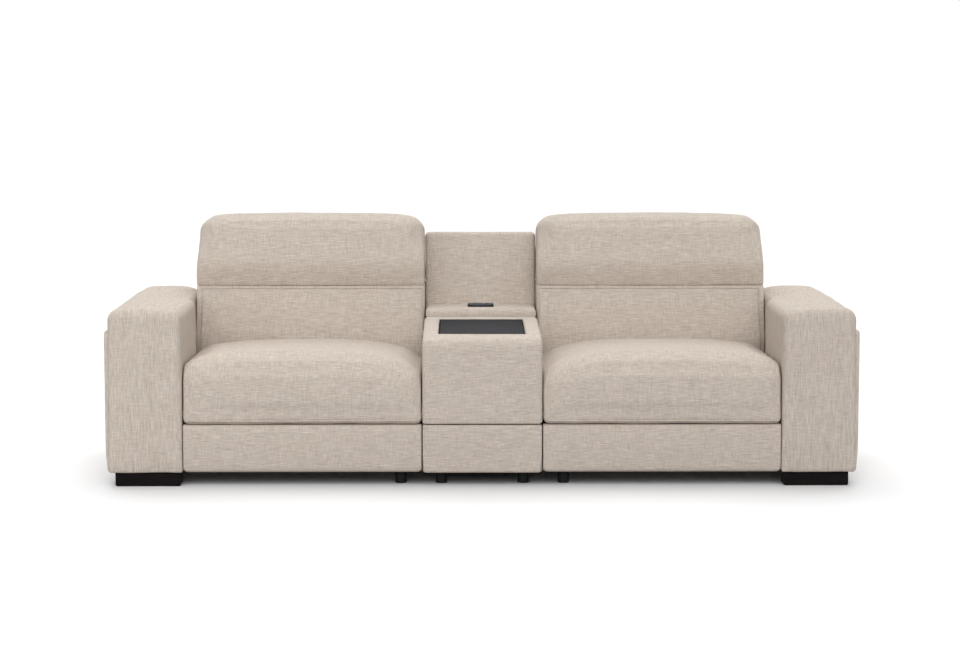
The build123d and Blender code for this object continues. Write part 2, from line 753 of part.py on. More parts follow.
def make_headrest_drive(centre):
    """Headrest motor standing on the back frame's lower rail, with its push rod."""
    motor_front = lumbar_rear_top + 48
    with BuildPart() as headrest_drive:
        motor_top = lumbar_bottom + headrest_motor_height
        half = headrest_motor_size / 2
        block((centre - half, centre + half), (motor_front, motor_front + headrest_motor_size),
              (lumbar_bottom, motor_top))
        fillet(headrest_drive.edges().filter_by(Axis.Z), motor_corner)
        with Locations((centre, y_at(motor_front + half), motor_top + push_rod_reach / 2)):
            Cylinder(push_rod_radius, push_rod_reach)
    return headrest_drive


seat_pieces = (
    ("seat_frame", make_seat_frame),
    ("seat_webbing", make_webbing),
    ("seat_cushion", make_seat_cushion),
    ("recline_brackets", make_recline_brackets),
    ("recline_drive", make_recline_drive),
    ("footrest_inner_links", make_inner_links),
    ("footrest_outer_links", make_outer_links),
    ("footrest_board", make_footrest_board),
    ("footrest_pad", make_footrest_pad),
    ("back_frame", make_back_frame),
    ("lumbar_cushion", make_lumbar_cushion),
    ("outside_back", make_outside_back),
    ("back_brackets", make_back_brackets),
    ("headrest_hinges", make_headrest_hinges),
    ("headrest_board", make_headrest_board),
    ("headrest_cushion", make_headrest_cushion),
    ("headrest_drive", make_headrest_drive),
)
for side, centre in (("left", -bay_centre), ("right", bay_centre)):
    for piece, make in seat_pieces:
        save(make(centre), f"{side}_{piece}")

# ---------------------------------------------------------------- console

carcass_half = console_half - cover_thickness
carcass_bottom = 60.0
switch_height = console_front_height - switch_drop
post_rear = console_back_depth - cover_thickness
ledge_base = console_rear_height - 5.0
lid_round = lid_thickness / 2
lid_pivot = (lid_rear_depth - lid_round, lid_line(lid_rear_depth - lid_round) - lid_round)


def carcass_profile(inset):
    """Side outline of the plywood console, shrunk by a board thickness for its inside."""
    front = cover_thickness + inset
    return ((front, carcass_bottom + inset), (front, console_front_height - console_front_radius - 8),
            (console_front_radius + 6 + inset, lid_line(console_front_radius + 6) - cover_thickness - inset),
            (console_top_depth - inset / 2, lid_line(console_top_depth) - cover_thickness - inset),
            (console_top_depth + inset / 2, ledge_base - inset), (ledge_rear_depth + inset, ledge_base - inset),
            (ledge_rear_depth + cover_thickness + inset, ledge_height - inset),
            (console_back_top_depth + inset / 2, console_back_top - cover_thickness - 6 - inset),
            (post_rear - inset, console_back_top - cover_thickness - 6 - inset),
            (post_rear - inset, carcass_bottom + inset))


with BuildPart() as console_carcass:
    side_panel((-carcass_half, carcass_half), carcass_profile(0))
    side_panel((-carcass_half + console_board, carcass_half - console_board), carcass_profile(console_board),
               mode=Mode.SUBTRACT)
    block((-bin_half - bin_clearance, bin_half + bin_clearance),
          (bin_front - bin_clearance, bin_rear + bin_clearance),
          (bin_floor_height, console_rear_height), mode=Mode.SUBTRACT)
    cross_rod((-bin_half - 12, bin_half + 12), lid_pivot, lid_pin_radius, mode=Mode.SUBTRACT)
save(console_carcass, "console_carcass")

with BuildPart() as console_cover:
    with BuildSketch(Plane.YZ.offset(-console_half)):
        with BuildLine():
            Polyline((y_at(console_front_radius), console_front_height),
                     (y_at(console_top_depth), console_rear_height),
                     (y_at(console_top_depth), cover_base), (y_at(0), cover_base),
                     (y_at(0), console_front_height - console_front_radius))
            RadiusArc((y_at(0), console_front_height - console_front_radius),
                      (y_at(console_front_radius), console_front_height), console_front_radius)
        make_face()
    extrude(amount=console_width)
    side_panel((-carcass_half, carcass_half), carcass_profile(0), mode=Mode.SUBTRACT)
    block((-lid_half_width - lid_clearance, lid_half_width + lid_clearance),
          (lid_front_depth - lid_clearance, lid_rear_depth + lid_clearance),
          (bin_floor_height, console_rear_height + 1), mode=Mode.SUBTRACT)
    for sign in (-1, 1):
        block((sign * carcass_half, sign * (console_half + 1)),
              (switch_depth - switch_length / 2 + 4, switch_depth + switch_length / 2 - 4),
              (switch_height - switch_tall / 2 + 4, switch_height + switch_tall / 2 - 4), mode=Mode.SUBTRACT)
save(console_cover, "console_cover")

with BuildPart() as console_front_panel:
    block((-console_half + side_clearance, console_half - side_clearance), (0, cover_thickness),
          (board_ground_gap, board_top))
    fillet(console_front_panel.edges().filter_by(Axis.Y).group_by(Axis.Z)[0], footrest_corner)
    fillet(console_front_panel.faces().sort_by(Axis.Y)[0].edges(), 6)
save(console_front_panel, "console_front_panel")


# Storage bin screwed into the carcass opening. The closed lid lies between its walls, on a front stop.
lid_stop_top = lid_line(lid_front_depth) - lid_thickness - lid_seat_gap
with BuildPart() as console_bin:
    side_panel((-bin_half, bin_half),
               ((bin_front, bin_floor_height), (bin_front, lid_line(bin_front) - cover_thickness),
                (bin_rear, lid_line(bin_rear) - cover_thickness), (bin_rear, bin_floor_height)))
    block((-bin_half + bin_wall, bin_half - bin_wall), (bin_front + bin_wall, bin_rear - bin_wall),
          (bin_floor_height + bin_wall, console_rear_height), mode=Mode.SUBTRACT)
    block((-bin_half + 1, bin_half - 1), (bin_front + 1, bin_front + bin_wall + lid_stop_depth),
          (lid_stop_top - lid_stop_height, lid_stop_top))
    cross_rod((-bin_half - 1, bin_half + 1), lid_pivot, lid_pin_radius + pin_clearance, mode=Mode.SUBTRACT)
save(console_bin, "console_bin")

lid_pin_seat = bin_half + 12
with BuildPart() as console_lid_pins:
    for sign in (-1, 1):
        cross_rod((sign * (lid_half_width - 16), sign * lid_pin_seat), lid_pivot, lid_pin_radius)
save(console_lid_pins, "console_lid_pins")

with BuildPart() as console_lid:
    side_panel((-lid_half_width, lid_half_width),
               ((lid_front_depth, lid_line(lid_front_depth)),
                (lid_front_depth, lid_line(lid_front_depth) - lid_thickness),
                (lid_pivot[0], lid_line(lid_pivot[0]) - lid_thickness),
                (lid_pivot[0], lid_line(lid_pivot[0]))))
    cross_rod((-lid_half_width, lid_half_width), lid_pivot, lid_round)
    for sign in (-1, 1):
        cross_rod((sign * (lid_half_width - 17), sign * lid_half_width), lid_pivot,
                  lid_pin_radius + pin_clearance, mode=Mode.SUBTRACT)
save(console_lid, "console_lid")

with BuildPart() as console_ledge:
    side_panel((-console_half + side_clearance, console_half - side_clearance),
               ((console_top_depth, ledge_base), (console_top_depth, ledge_height),
                (ledge_rear_depth, ledge_height), (ledge_rear_depth, ledge_base)))
    fillet(console_ledge.edges().filter_by(Axis.X).group_by(Axis.Z)[-1].sort_by(Axis.Y)[0], ledge_front_radius)
save(console_ledge, "console_ledge")

with BuildPart() as console_back:
    with BuildSketch(Plane.YZ.offset(-console_half + side_clearance)):
        with BuildLine():
            Polyline((y_at(console_back_top_depth - 12), console_back_top - 20),
                     (y_at(ledge_rear_depth), ledge_height), (y_at(ledge_rear_depth), ledge_base),
                     (y_at(console_top_depth), ledge_base), (y_at(console_top_depth), carcass_bottom),
                     (y_at(console_back_depth), carcass_bottom),
                     (y_at(console_back_depth), console_back_top - 20))
            ThreePointArc((y_at(console_back_depth), console_back_top - 20),
                          (y_at((console_back_top_depth - 12 + console_back_depth) / 2), console_back_top),
                          (y_at(console_back_top_depth - 12), console_back_top - 20))
        make_face()
    extrude(amount=console_width - 2 * side_clearance)
    side_panel((-carcass_half, carcass_half), carcass_profile(0), mode=Mode.SUBTRACT)
save(console_back, "console_back")

with BuildPart() as power_hub:
    block((-hub_width / 2, hub_width / 2), (hub_front_depth, hub_front_depth + hub_depth),
          (ledge_height, ledge_height + hub_height - hub_plate_thickness))
    fillet(power_hub.edges().filter_by(Axis.Z), 6)
save(power_hub, "power_hub")

with BuildPart() as power_hub_plate:
    block((-hub_width / 2, hub_width / 2), (hub_front_depth, hub_front_depth + hub_depth),
          (ledge_height + hub_height - hub_plate_thickness, ledge_height + hub_height))
    fillet(power_hub_plate.edges().filter_by(Axis.Z), 6)
save(power_hub_plate, "power_hub_plate")

# Round glides: two at the front and two at the rear of the console, one at each end of the base frames.
with BuildPart() as base_glides:
    for glide_x in (-inner_glide_offset, inner_glide_offset):
        for depth in (glide_depth, console_back_depth - glide_depth):
            with Locations((glide_x, y_at(depth), carcass_bottom / 2)):
                Cylinder(glide_radius, carcass_bottom)
    for glide_x in (-outer_glide_offset, outer_glide_offset):
        for depth in (glide_depth, rear_tube_front + cross_tube_depth / 2):
            with Locations((glide_x, y_at(depth), cross_tube_bottom / 2)):
                Cylinder(glide_radius, cross_tube_bottom)
save(base_glides, "base_glides")

# ---------------------------------------------------------------- seat switches on the console's sides

well_length = rocker_length + 2 * rocker_clearance
well_tall = rocker_tall + 2 * rocker_clearance
rocker_pivot_x = console_half - 3.0
rocker_places = {"recline": switch_depth - rocker_offset, "headrest": switch_depth + rocker_offset}

with BuildPart() as switch_plates:
    for sign in (-1, 1):
        block((sign * console_half, sign * (console_half + switch_proud)),
              (switch_depth - switch_length / 2, switch_depth + switch_length / 2),
              (switch_height - switch_tall / 2, switch_height + switch_tall / 2))
        block((sign * (console_half - switch_body_depth), sign * (console_half + 0.5)),
              (switch_depth - switch_length / 2 + 4.3, switch_depth + switch_length / 2 - 4.3),
              (switch_height - switch_tall / 2 + 4.3, switch_height + switch_tall / 2 - 4.3))
        for place in rocker_places.values():
            block((sign * (console_half - switch_body_depth + 1.5), sign * (console_half + switch_proud + 1)),
                  (place - well_length / 2, place + well_length / 2),
                  (switch_height - well_tall / 2, switch_height + well_tall / 2), mode=Mode.SUBTRACT)
            pin_hole = Location((sign * rocker_pivot_x, y_at(place), switch_height), (90, 0, 0))
            with Locations(pin_hole):
                Cylinder(rocker_pin_radius + pin_clearance, well_length + 5, mode=Mode.SUBTRACT)
save(switch_plates, "switch_plates")


def make_rocker(sign, place):
    """Rocker key with stub pins that turn in the switch plate's well."""
    with BuildPart() as rocker:
        block((sign * (rocker_pivot_x - 3), sign * (console_half + switch_proud + rocker_proud)),
              (place - rocker_length / 2, place + rocker_length / 2),
              (switch_height - rocker_tall / 2, switch_height + rocker_tall / 2))
        with Locations(Location((sign * rocker_pivot_x, y_at(place), switch_height), (90, 0, 0))):
            Cylinder(rocker_pin_radius, rocker_length + 2 * rocker_clearance + 3)
    return rocker


for side, sign in (("left", -1), ("right", 1)):
    for use, place in rocker_places.items():
        save(make_rocker(sign, place), f"{side}_{use}_rocker")
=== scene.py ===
import math

import bpy
import numpy as np
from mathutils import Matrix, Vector, noise
from mathutils.bvhtree import BVHTree


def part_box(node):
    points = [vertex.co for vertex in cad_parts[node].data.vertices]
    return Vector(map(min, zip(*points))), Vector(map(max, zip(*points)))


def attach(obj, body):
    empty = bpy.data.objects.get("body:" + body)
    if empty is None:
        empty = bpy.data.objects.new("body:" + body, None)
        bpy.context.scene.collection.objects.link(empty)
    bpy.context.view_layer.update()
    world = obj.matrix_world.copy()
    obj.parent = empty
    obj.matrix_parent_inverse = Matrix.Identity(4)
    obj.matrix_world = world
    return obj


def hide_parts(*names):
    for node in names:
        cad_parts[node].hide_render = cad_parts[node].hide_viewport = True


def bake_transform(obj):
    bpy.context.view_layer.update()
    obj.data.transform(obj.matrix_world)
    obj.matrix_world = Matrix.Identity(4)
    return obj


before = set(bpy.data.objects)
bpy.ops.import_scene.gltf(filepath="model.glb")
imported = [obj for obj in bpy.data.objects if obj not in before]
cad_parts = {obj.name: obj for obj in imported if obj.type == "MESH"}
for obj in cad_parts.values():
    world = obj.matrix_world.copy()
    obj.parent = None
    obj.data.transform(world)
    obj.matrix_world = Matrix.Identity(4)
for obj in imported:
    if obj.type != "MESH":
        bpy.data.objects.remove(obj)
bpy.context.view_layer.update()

# ---------------------------------------------------------------- camera
# A long lens, a little above the headrests, looking down at the front of the sofa.
front_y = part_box("left_seat_cushion")[0].y
view_data = bpy.data.cameras.new("view")
view_data.sensor_fit = "HORIZONTAL"
view_data.sensor_width = 36.0
view_data.lens = 87.72
view_data.clip_end = 500.0
view = bpy.data.objects.new("view", view_data)
view_aside = -0.0738
view_distance = 7.713
view_height = 1.3409
view_pitch = 6.06
view_turn = 0.49
view.location = (view_aside, front_y - view_distance, view_height)
view.rotation_euler = (math.radians(90 - view_pitch), 0, -math.radians(view_turn))
bpy.context.scene.collection.objects.link(view)
bpy.context.scene.camera = view

bpy.context.scene.view_settings.view_transform = "Standard"


# ---------------------------------------------------------------- floor and light
# A seamless white studio floor. Wide soft lights stand high behind the sofa, in front of it and at its
# right, a square panel lamp stands at the front left, and weak even light comes from all round.
class Wire:
    """A shader socket. Arithmetic on it adds Math nodes, and node() adds any other node."""

    def __init__(self, tree, socket=None):
        self.tree = tree
        self.socket = socket

    def node(self, kind, settings=None, inputs=None, output=0):
        """A new node: its settings first, then the values or links of its sockets."""
        made = self.tree.nodes.new(kind)
        for name, value in (settings or {}).items():
            setattr(made, name, value)
        for name, value in (inputs or {}).items():
            if isinstance(value, Wire):
                self.tree.links.new(value.socket, made.inputs[name])
            else:
                made.inputs[name].default_value = value
        return Wire(self.tree, made.outputs[output])

    def maths(self, operation, *others):
        terms = dict(enumerate((self,) + others))
        return self.node("ShaderNodeMath", {"operation": operation}, terms)

    def __add__(self, other):
        return self.maths("ADD", other)

    def __mul__(self, other):
        return self.maths("MULTIPLY", other)

    def __sub__(self, other):
        return self.maths("SUBTRACT", other)

    def ramp(self, low, high):
        """0 below low, 1 above high, and smooth between them."""
        inputs = {"Value": self, "From Min": low, "From Max": high}
        return self.node("ShaderNodeMapRange", {"interpolation_type": "SMOOTHSTEP"}, inputs)


def new_finish(name, **constants):
    """A material, a wire to add its nodes with, and its Principled shader with the constants set:
    each is named as its socket, with underscores for spaces."""
    finish = bpy.data.materials.new(name)
    finish.use_nodes = True
    shader = finish.node_tree.nodes["Principled BSDF"]
    for socket, value in constants.items():
        shader.inputs[socket.replace("_", " ")].default_value = value
    return finish, Wire(finish.node_tree), shader


def link(wire, shader, socket):
    wire.tree.links.new(wire.socket, shader.inputs[socket])


def mixed(share, first, second):
    """A colour between two others."""
    inputs = {"Factor": share, 6: first, 7: second}
    return share.node("ShaderNodeMix", {"data_type": "RGBA"}, inputs, output=2)


floor_reach = 150.0
floor_mesh = bpy.data.meshes.new("floor")
floor_corners = [(-floor_reach, -floor_reach, 0), (floor_reach, -floor_reach, 0),
                 (floor_reach, floor_reach, 0), (-floor_reach, floor_reach, 0)]
floor_mesh.from_pydata(floor_corners, [], [(0, 1, 2, 3)])
floor = bpy.data.objects.new("floor", floor_mesh)
bpy.context.scene.collection.objects.link(floor)
floor_finish, wire, shader = new_finish("floor_white", Roughness=0.9, Specular_IOR_Level=0.0)
grain = wire.node("ShaderNodeTexNoise", inputs={"Scale": 3.0})
direct = wire.node("ShaderNodeLightPath")
lit = mixed(grain, (0.46, 0.46, 0.465, 1), (0.48, 0.48, 0.485, 1))
shown = mixed(grain, (0.90, 0.90, 0.905, 1), (0.92, 0.92, 0.925, 1))
link(mixed(direct, lit, shown), shader, "Base Color")
floor.data.materials.append(floor_finish)

world = bpy.data.worlds.new("studio")
world.use_nodes = True
bpy.context.scene.world = world
sky_strength = 0.30
background = world.node_tree.nodes["Background"]
background.inputs["Color"].default_value = (1, 1, 1, 1)
path = world.node_tree.nodes.new("ShaderNodeLightPath")
seen = Wire(world.node_tree, path.outputs["Is Camera Ray"])
for ray in ("Is Glossy Ray", "Is Transmission Ray"):
    seen = seen.maths("MAXIMUM", Wire(world.node_tree, path.outputs[ray]))
link(seen * (1.0 - sky_strength) + sky_strength, background, "Strength")


def lamp(name, strength, spread, elevation, azimuth):
    """A very wide sun: azimuth 0 comes from the front, and a positive one from the left."""
    data = bpy.data.lights.new(name, "SUN")
    data.energy = strength
    data.angle = math.radians(spread)
    made = bpy.data.objects.new(name, data)
    high, turn = math.radians(elevation), math.radians(azimuth)
    towards = Vector((-math.sin(turn) * math.cos(high), -math.cos(turn) * math.cos(high), math.sin(high)))
    made.rotation_euler = towards.to_track_quat("Z", "Y").to_euler()
    bpy.context.scene.collection.objects.link(made)


lamp("overhead", 2.12, 60, 58, 180)
lamp("front_fill", 1.50, 46, 33, 0)
lamp("right_fill", 0.36, 60, 30, -55)
panel_data = bpy.data.lights.new("left_panel", "AREA")
panel_data.shape = "SQUARE"
panel_data.size = 2.2
panel_data.energy = 30.0
panel_lamp = bpy.data.objects.new("left_panel", panel_data)
panel_place = Vector((-3.4, front_y - 2.8, 1.9))
panel_aim = Vector((-0.6, 0, 0.4))
panel_lamp.location = panel_place
panel_lamp.rotation_euler = (panel_place - panel_aim).to_track_quat("Z", "Y").to_euler()
bpy.context.scene.collection.objects.link(panel_lamp)


# ---------------------------------------------------------------- arms
# Each arm is a plywood box padded all round and covered in one oatmeal cloth, its yarn running up the
# front and over the top. A second padded panel, thinner towards the floor, is screwed to its outside.
def rounded_outline(corners, step):
    """Points round a closed outline of (y, z, radius) corners, with even steps on the straights."""
    points = []
    arc_ends = []
    for index, (y, z, radius) in enumerate(corners):
        here = Vector((y, z))
        into = (here - Vector(corners[index - 1][:2])).normalized()
        out = (Vector(corners[(index + 1) % len(corners)][:2]) - here).normalized()
        turn = into.angle_signed(out) * -1
        reach = radius * math.tan(abs(turn) / 2)
        side = 1 if turn > 0 else -1
        start = here - into * reach
        centre = start + Vector((-into.y, into.x)) * radius * side
        count = max(2, math.ceil(abs(turn) * radius / min(step, 0.006)))
        spoke = start - centre
        arc = []
        for part in range(count + 1):
            bend = turn * part / count
            arc.append(centre + Vector((spoke.x * math.cos(bend) - spoke.y * math.sin(bend),
                                        spoke.x * math.sin(bend) + spoke.y * math.cos(bend))))
        arc_ends.append(arc)
    for index, arc in enumerate(arc_ends):
        points += arc
        after = arc_ends[(index + 1) % len(arc_ends)][0]
        gap = after - arc[-1]
        pieces = max(1, round(gap.length / step))
        points += [arc[-1] + gap * part / pieces for part in range(1, pieces)]
    return points


def smooth(value, low, high):
    """0 below low, 1 above high, and smooth between them."""
    share = np.clip((value - low) / (high - low), 0, 1)
    return share * share * (3 - 2 * share)


def new_piece(name, points, faces, finish):
    """A smooth-shaded mesh object with one finish."""
    mesh = bpy.data.meshes.new(name)
    mesh.from_pydata([tuple(point) for point in points], [], faces)
    mesh.polygons.foreach_set("use_smooth", [True] * len(mesh.polygons))
    mesh.materials.append(finish)
    made = bpy.data.objects.new(name, mesh)
    bpy.context.scene.collection.objects.link(made)
    return made


def padded_form(name, outline, left, right, ease, finish, step=0.016, rounds=5, rings=4, heart=None):
    """A closed upholstered form: a side outline of (y, z) points carried across from left to right.
    ease(y, z) gives how far its end edges are rounded at a point of the outline."""
    loop = np.array([tuple(point) for point in outline])
    tangent = np.roll(loop, -1, 0) - np.roll(loop, 1, 0)
    area = np.sum(loop[:, 0] * np.roll(loop[:, 1], -1) - np.roll(loop[:, 0], -1) * loop[:, 1])
    inward = np.stack([-tangent[:, 1], tangent[:, 0]], 1) * np.sign(area)
    inward /= np.linalg.norm(inward, axis=1)[:, None]
    radius = np.array([ease(y, z) for y, z in loop])
    middle = loop.mean(0) if heart is None else np.array(heart)
    sections = []
    for end in (0, 1):
        edge = left if end == 0 else right
        facing = 1 if end == 0 else -1
        flat = loop + inward * radius[:, None]
        cap = [(np.full(len(loop), edge), middle + (flat - middle) * ring / (rings + 1))
               for ring in range(1, rings + 1)]
        turned = [(edge + facing * radius * (1 - math.cos(angle)),
                   loop + inward * (radius * (1 - math.sin(angle)))[:, None])
                  for angle in np.linspace(0, math.pi / 2, rounds + 1)]
        sections.append(cap + turned)
    first, last = sections
    count = max(1, round((right - left) / step))
    between = []
    for part in range(1, count):
        share = part / count
        across = (left + radius) * (1 - share) + (right - radius) * share
        between.append((across, loop))
    rows = first + between + last[::-1]
    points = []
    for across, section in rows:
        points += [(x, y, z) for x, (y, z) in zip(across, section)]
    size = len(loop)
    faces = []
    for row in range(len(rows) - 1):
        for index in range(size):
            after = (index + 1) % size
            faces.append((row * size + index, row * size + after,
                          (row + 1) * size + after, (row + 1) * size + index))
    for row, edge in ((0, left), (len(rows) - 1, right)):
        points.append((edge, *middle))
        for index in range(size):
            after = (index + 1) % size
            face = (row * size + after, row * size + index, len(points) - 1)
            faces.append(face if row == 0 else face[::-1])
    if area < 0:
        faces = [face[::-1] for face in faces]
    return new_piece(name, points, faces, finish)


def reshape(piece, change):
    """Moves a piece's points: change takes and returns arrays of x, y and z."""
    mesh = piece.data
    places = np.empty(len(mesh.vertices) * 3)
    mesh.vertices.foreach_get("co", places)
    x, y, z = change(*places.reshape(-1, 3).T)
    mesh.vertices.foreach_set("co", np.stack([x, y, z], 1).ravel())
    mesh.update()


def ease_off(piece, amount, size, seed):
    """The slight unevenness of cloth over foam: points move along their normals by a smooth noise."""
    mesh = piece.data
    shift = Vector((seed * 3.1, seed * 1.7, seed * 2.3))
    moved = []
    for vertex in mesh.vertices:
        lift = noise.fractal(vertex.co / size + shift, 1.0, 2.0, 3)
        moved.append(vertex.co + vertex.normal * lift * amount)
    mesh.vertices.foreach_set("co", np.array(moved).ravel())
    mesh.update()


def add_rows(outline, *places):
    """The outline with extra points where it crosses the given depths."""
    points = []
    for index, here in enumerate(outline):
        after = outline[(index + 1) % len(outline)]
        points.append(here)
        crossed = [here.lerp(after, (place - here.x) / (after.x - here.x)) for place in places
                   if (here.x - place) * (after.x - place) < 0]
        points += sorted(crossed, key=lambda point: (point - here).length)
    return points


def piping(name, host, route, radius, finish, sink=0.3):
    """A piped seam: a thin cord laid along a route on the surface of its host."""
    mesh = host.data
    tree = BVHTree.FromPolygons([vertex.co for vertex in mesh.vertices],
                                [face.vertices[:] for face in mesh.polygons])
    curve = bpy.data.curves.new(name, "CURVE")
    curve.dimensions = "3D"
    curve.bevel_depth = radius
    curve.bevel_resolution = 2
    curve.use_fill_caps = True
    spline = curve.splines.new("POLY")
    spline.points.add(len(route) - 1)
    for point, target in zip(spline.points, route):
        spot, normal, _, _ = tree.find_nearest(Vector(target))
        point.co = (*(spot + normal * radius * (1 - sink)), 1)
    made = bpy.data.objects.new(name, curve)
    bpy.context.scene.collection.objects.link(made)
    curve.materials.append(finish)
    return made


def linear(red, green, blue):
    """A colour given as 0-255 screen values, as the shader needs it."""
    scaled = [value / 255 for value in (red, green, blue)]
    return tuple(v / 12.92 if v <= 0.04045 else ((v + 0.055) / 1.055) ** 2.4 for v in scaled) + (1.0,)


def bumped(wire, shader, height, strength, distance):
    """Gives a finish the fine relief that its height describes."""
    inputs = {"Height": height, "Strength": strength, "Distance": distance}
    link(wire.node("ShaderNodeBump", inputs=inputs), shader, "Normal")


def oatmeal_cloth(name, upright):
    """Slubby oatmeal cloth. Its thick yarn runs up and over the top, or across."""
    finish, wire, shader = new_finish(name, Roughness=0.93, Specular_IOR_Level=0.2, Sheen_Weight=0.08,
                                      Sheen_Roughness=0.6, Sheen_Tint=(0.94, 0.90, 0.86, 1))
    place = wire.node("ShaderNodeTexCoord", output=3)
    facing = wire.node("ShaderNodeNewGeometry", output=1)
    split = facing.node("ShaderNodeSeparateXYZ", inputs={0: facing})
    sideways = split.maths("ABSOLUTE").ramp(0.55, 0.85)

    def yarn(long, thin, detail, side=False):
        """Noise drawn out along the yarn: long and thin are the size of its marks."""
        if not upright:
            scale = (1 / long, 1 / thin, 1 / thin)
        elif side:
            scale = (1 / thin, 1 / thin, 1 / long)
        else:
            scale = (1 / thin, 1 / long, 1 / long)
        drawn = place.node("ShaderNodeVectorMath", {"operation": "MULTIPLY"}, {0: place, 1: scale})
        inputs = {"Vector": drawn, "Scale": 1.0, "Detail": detail, "Roughness": 0.6}
        return place.node("ShaderNodeTexNoise", inputs=inputs)

    def drawn_out(long, thin, detail):
        if not upright:
            return yarn(long, thin, detail)
        over = yarn(long, thin, detail)
        down = yarn(long, thin, detail, side=True)
        return over + (down - over) * sideways

    streaks = drawn_out(0.036, 0.0020, 0.5)
    cross = yarn(0.0020, 0.030, 0.5)
    slubs = drawn_out(0.012, 0.0024, 0.5).ramp(0.60, 0.72)
    clouds = wire.node("ShaderNodeTexNoise", inputs={"Vector": place, "Scale": 22.0, "Detail": 3.0})
    tone = (streaks - 0.5) * 1.2 + (cross - 0.5) * 0.8 + (clouds - 0.5) * 0.12 + slubs * 0.22 + 0.475
    light = linear(217, 206, 195)
    dark = linear(173, 161, 149)
    link(mixed(tone, dark, light), shader, "Base Color")
    yarn_pitch = 0.0022
    pitch = 2 * math.pi / yarn_pitch
    across = place.node("ShaderNodeSeparateXYZ", inputs={0: place})
    up = place.node("ShaderNodeSeparateXYZ", inputs={0: place}, output=2)
    back = place.node("ShaderNodeSeparateXYZ", inputs={0: place}, output=1)
    weave = (across * pitch).maths("SINE") * ((up + back) * pitch).maths("SINE")
    height = streaks * 0.8 + slubs * 0.6 + weave * 0.18 + cross * 0.5
    bumped(wire, shader, height, 0.5, 0.0011)
    return finish


oatmeal_upright = oatmeal_cloth("oatmeal_cloth_upright", upright=True)
oatmeal_across = oatmeal_cloth("oatmeal_cloth_across", upright=False)

arm_crown = 0.012
arm_rear_crown = 0.004
arm_inner_drop = 0.006
arm_front_round = 0.030
arm_base_round = 0.006
arm_front_ease = 0.026
arm_rear_ease = 0.015
arm_rear_corner = 0.013
arm_upright_ease = 0.021
arm_low_ease = 0.007
arm_pillow = 0.004
arm_recess = 0.020
arm_recess_depth = 0.440
panel_rise = 0.009
panel_taper = 0.090
panel_toe = 0.003
panel_pillow = 0.001
panel_corner = 0.016
panel_ease = 0.0065
panel_sink = 0.006

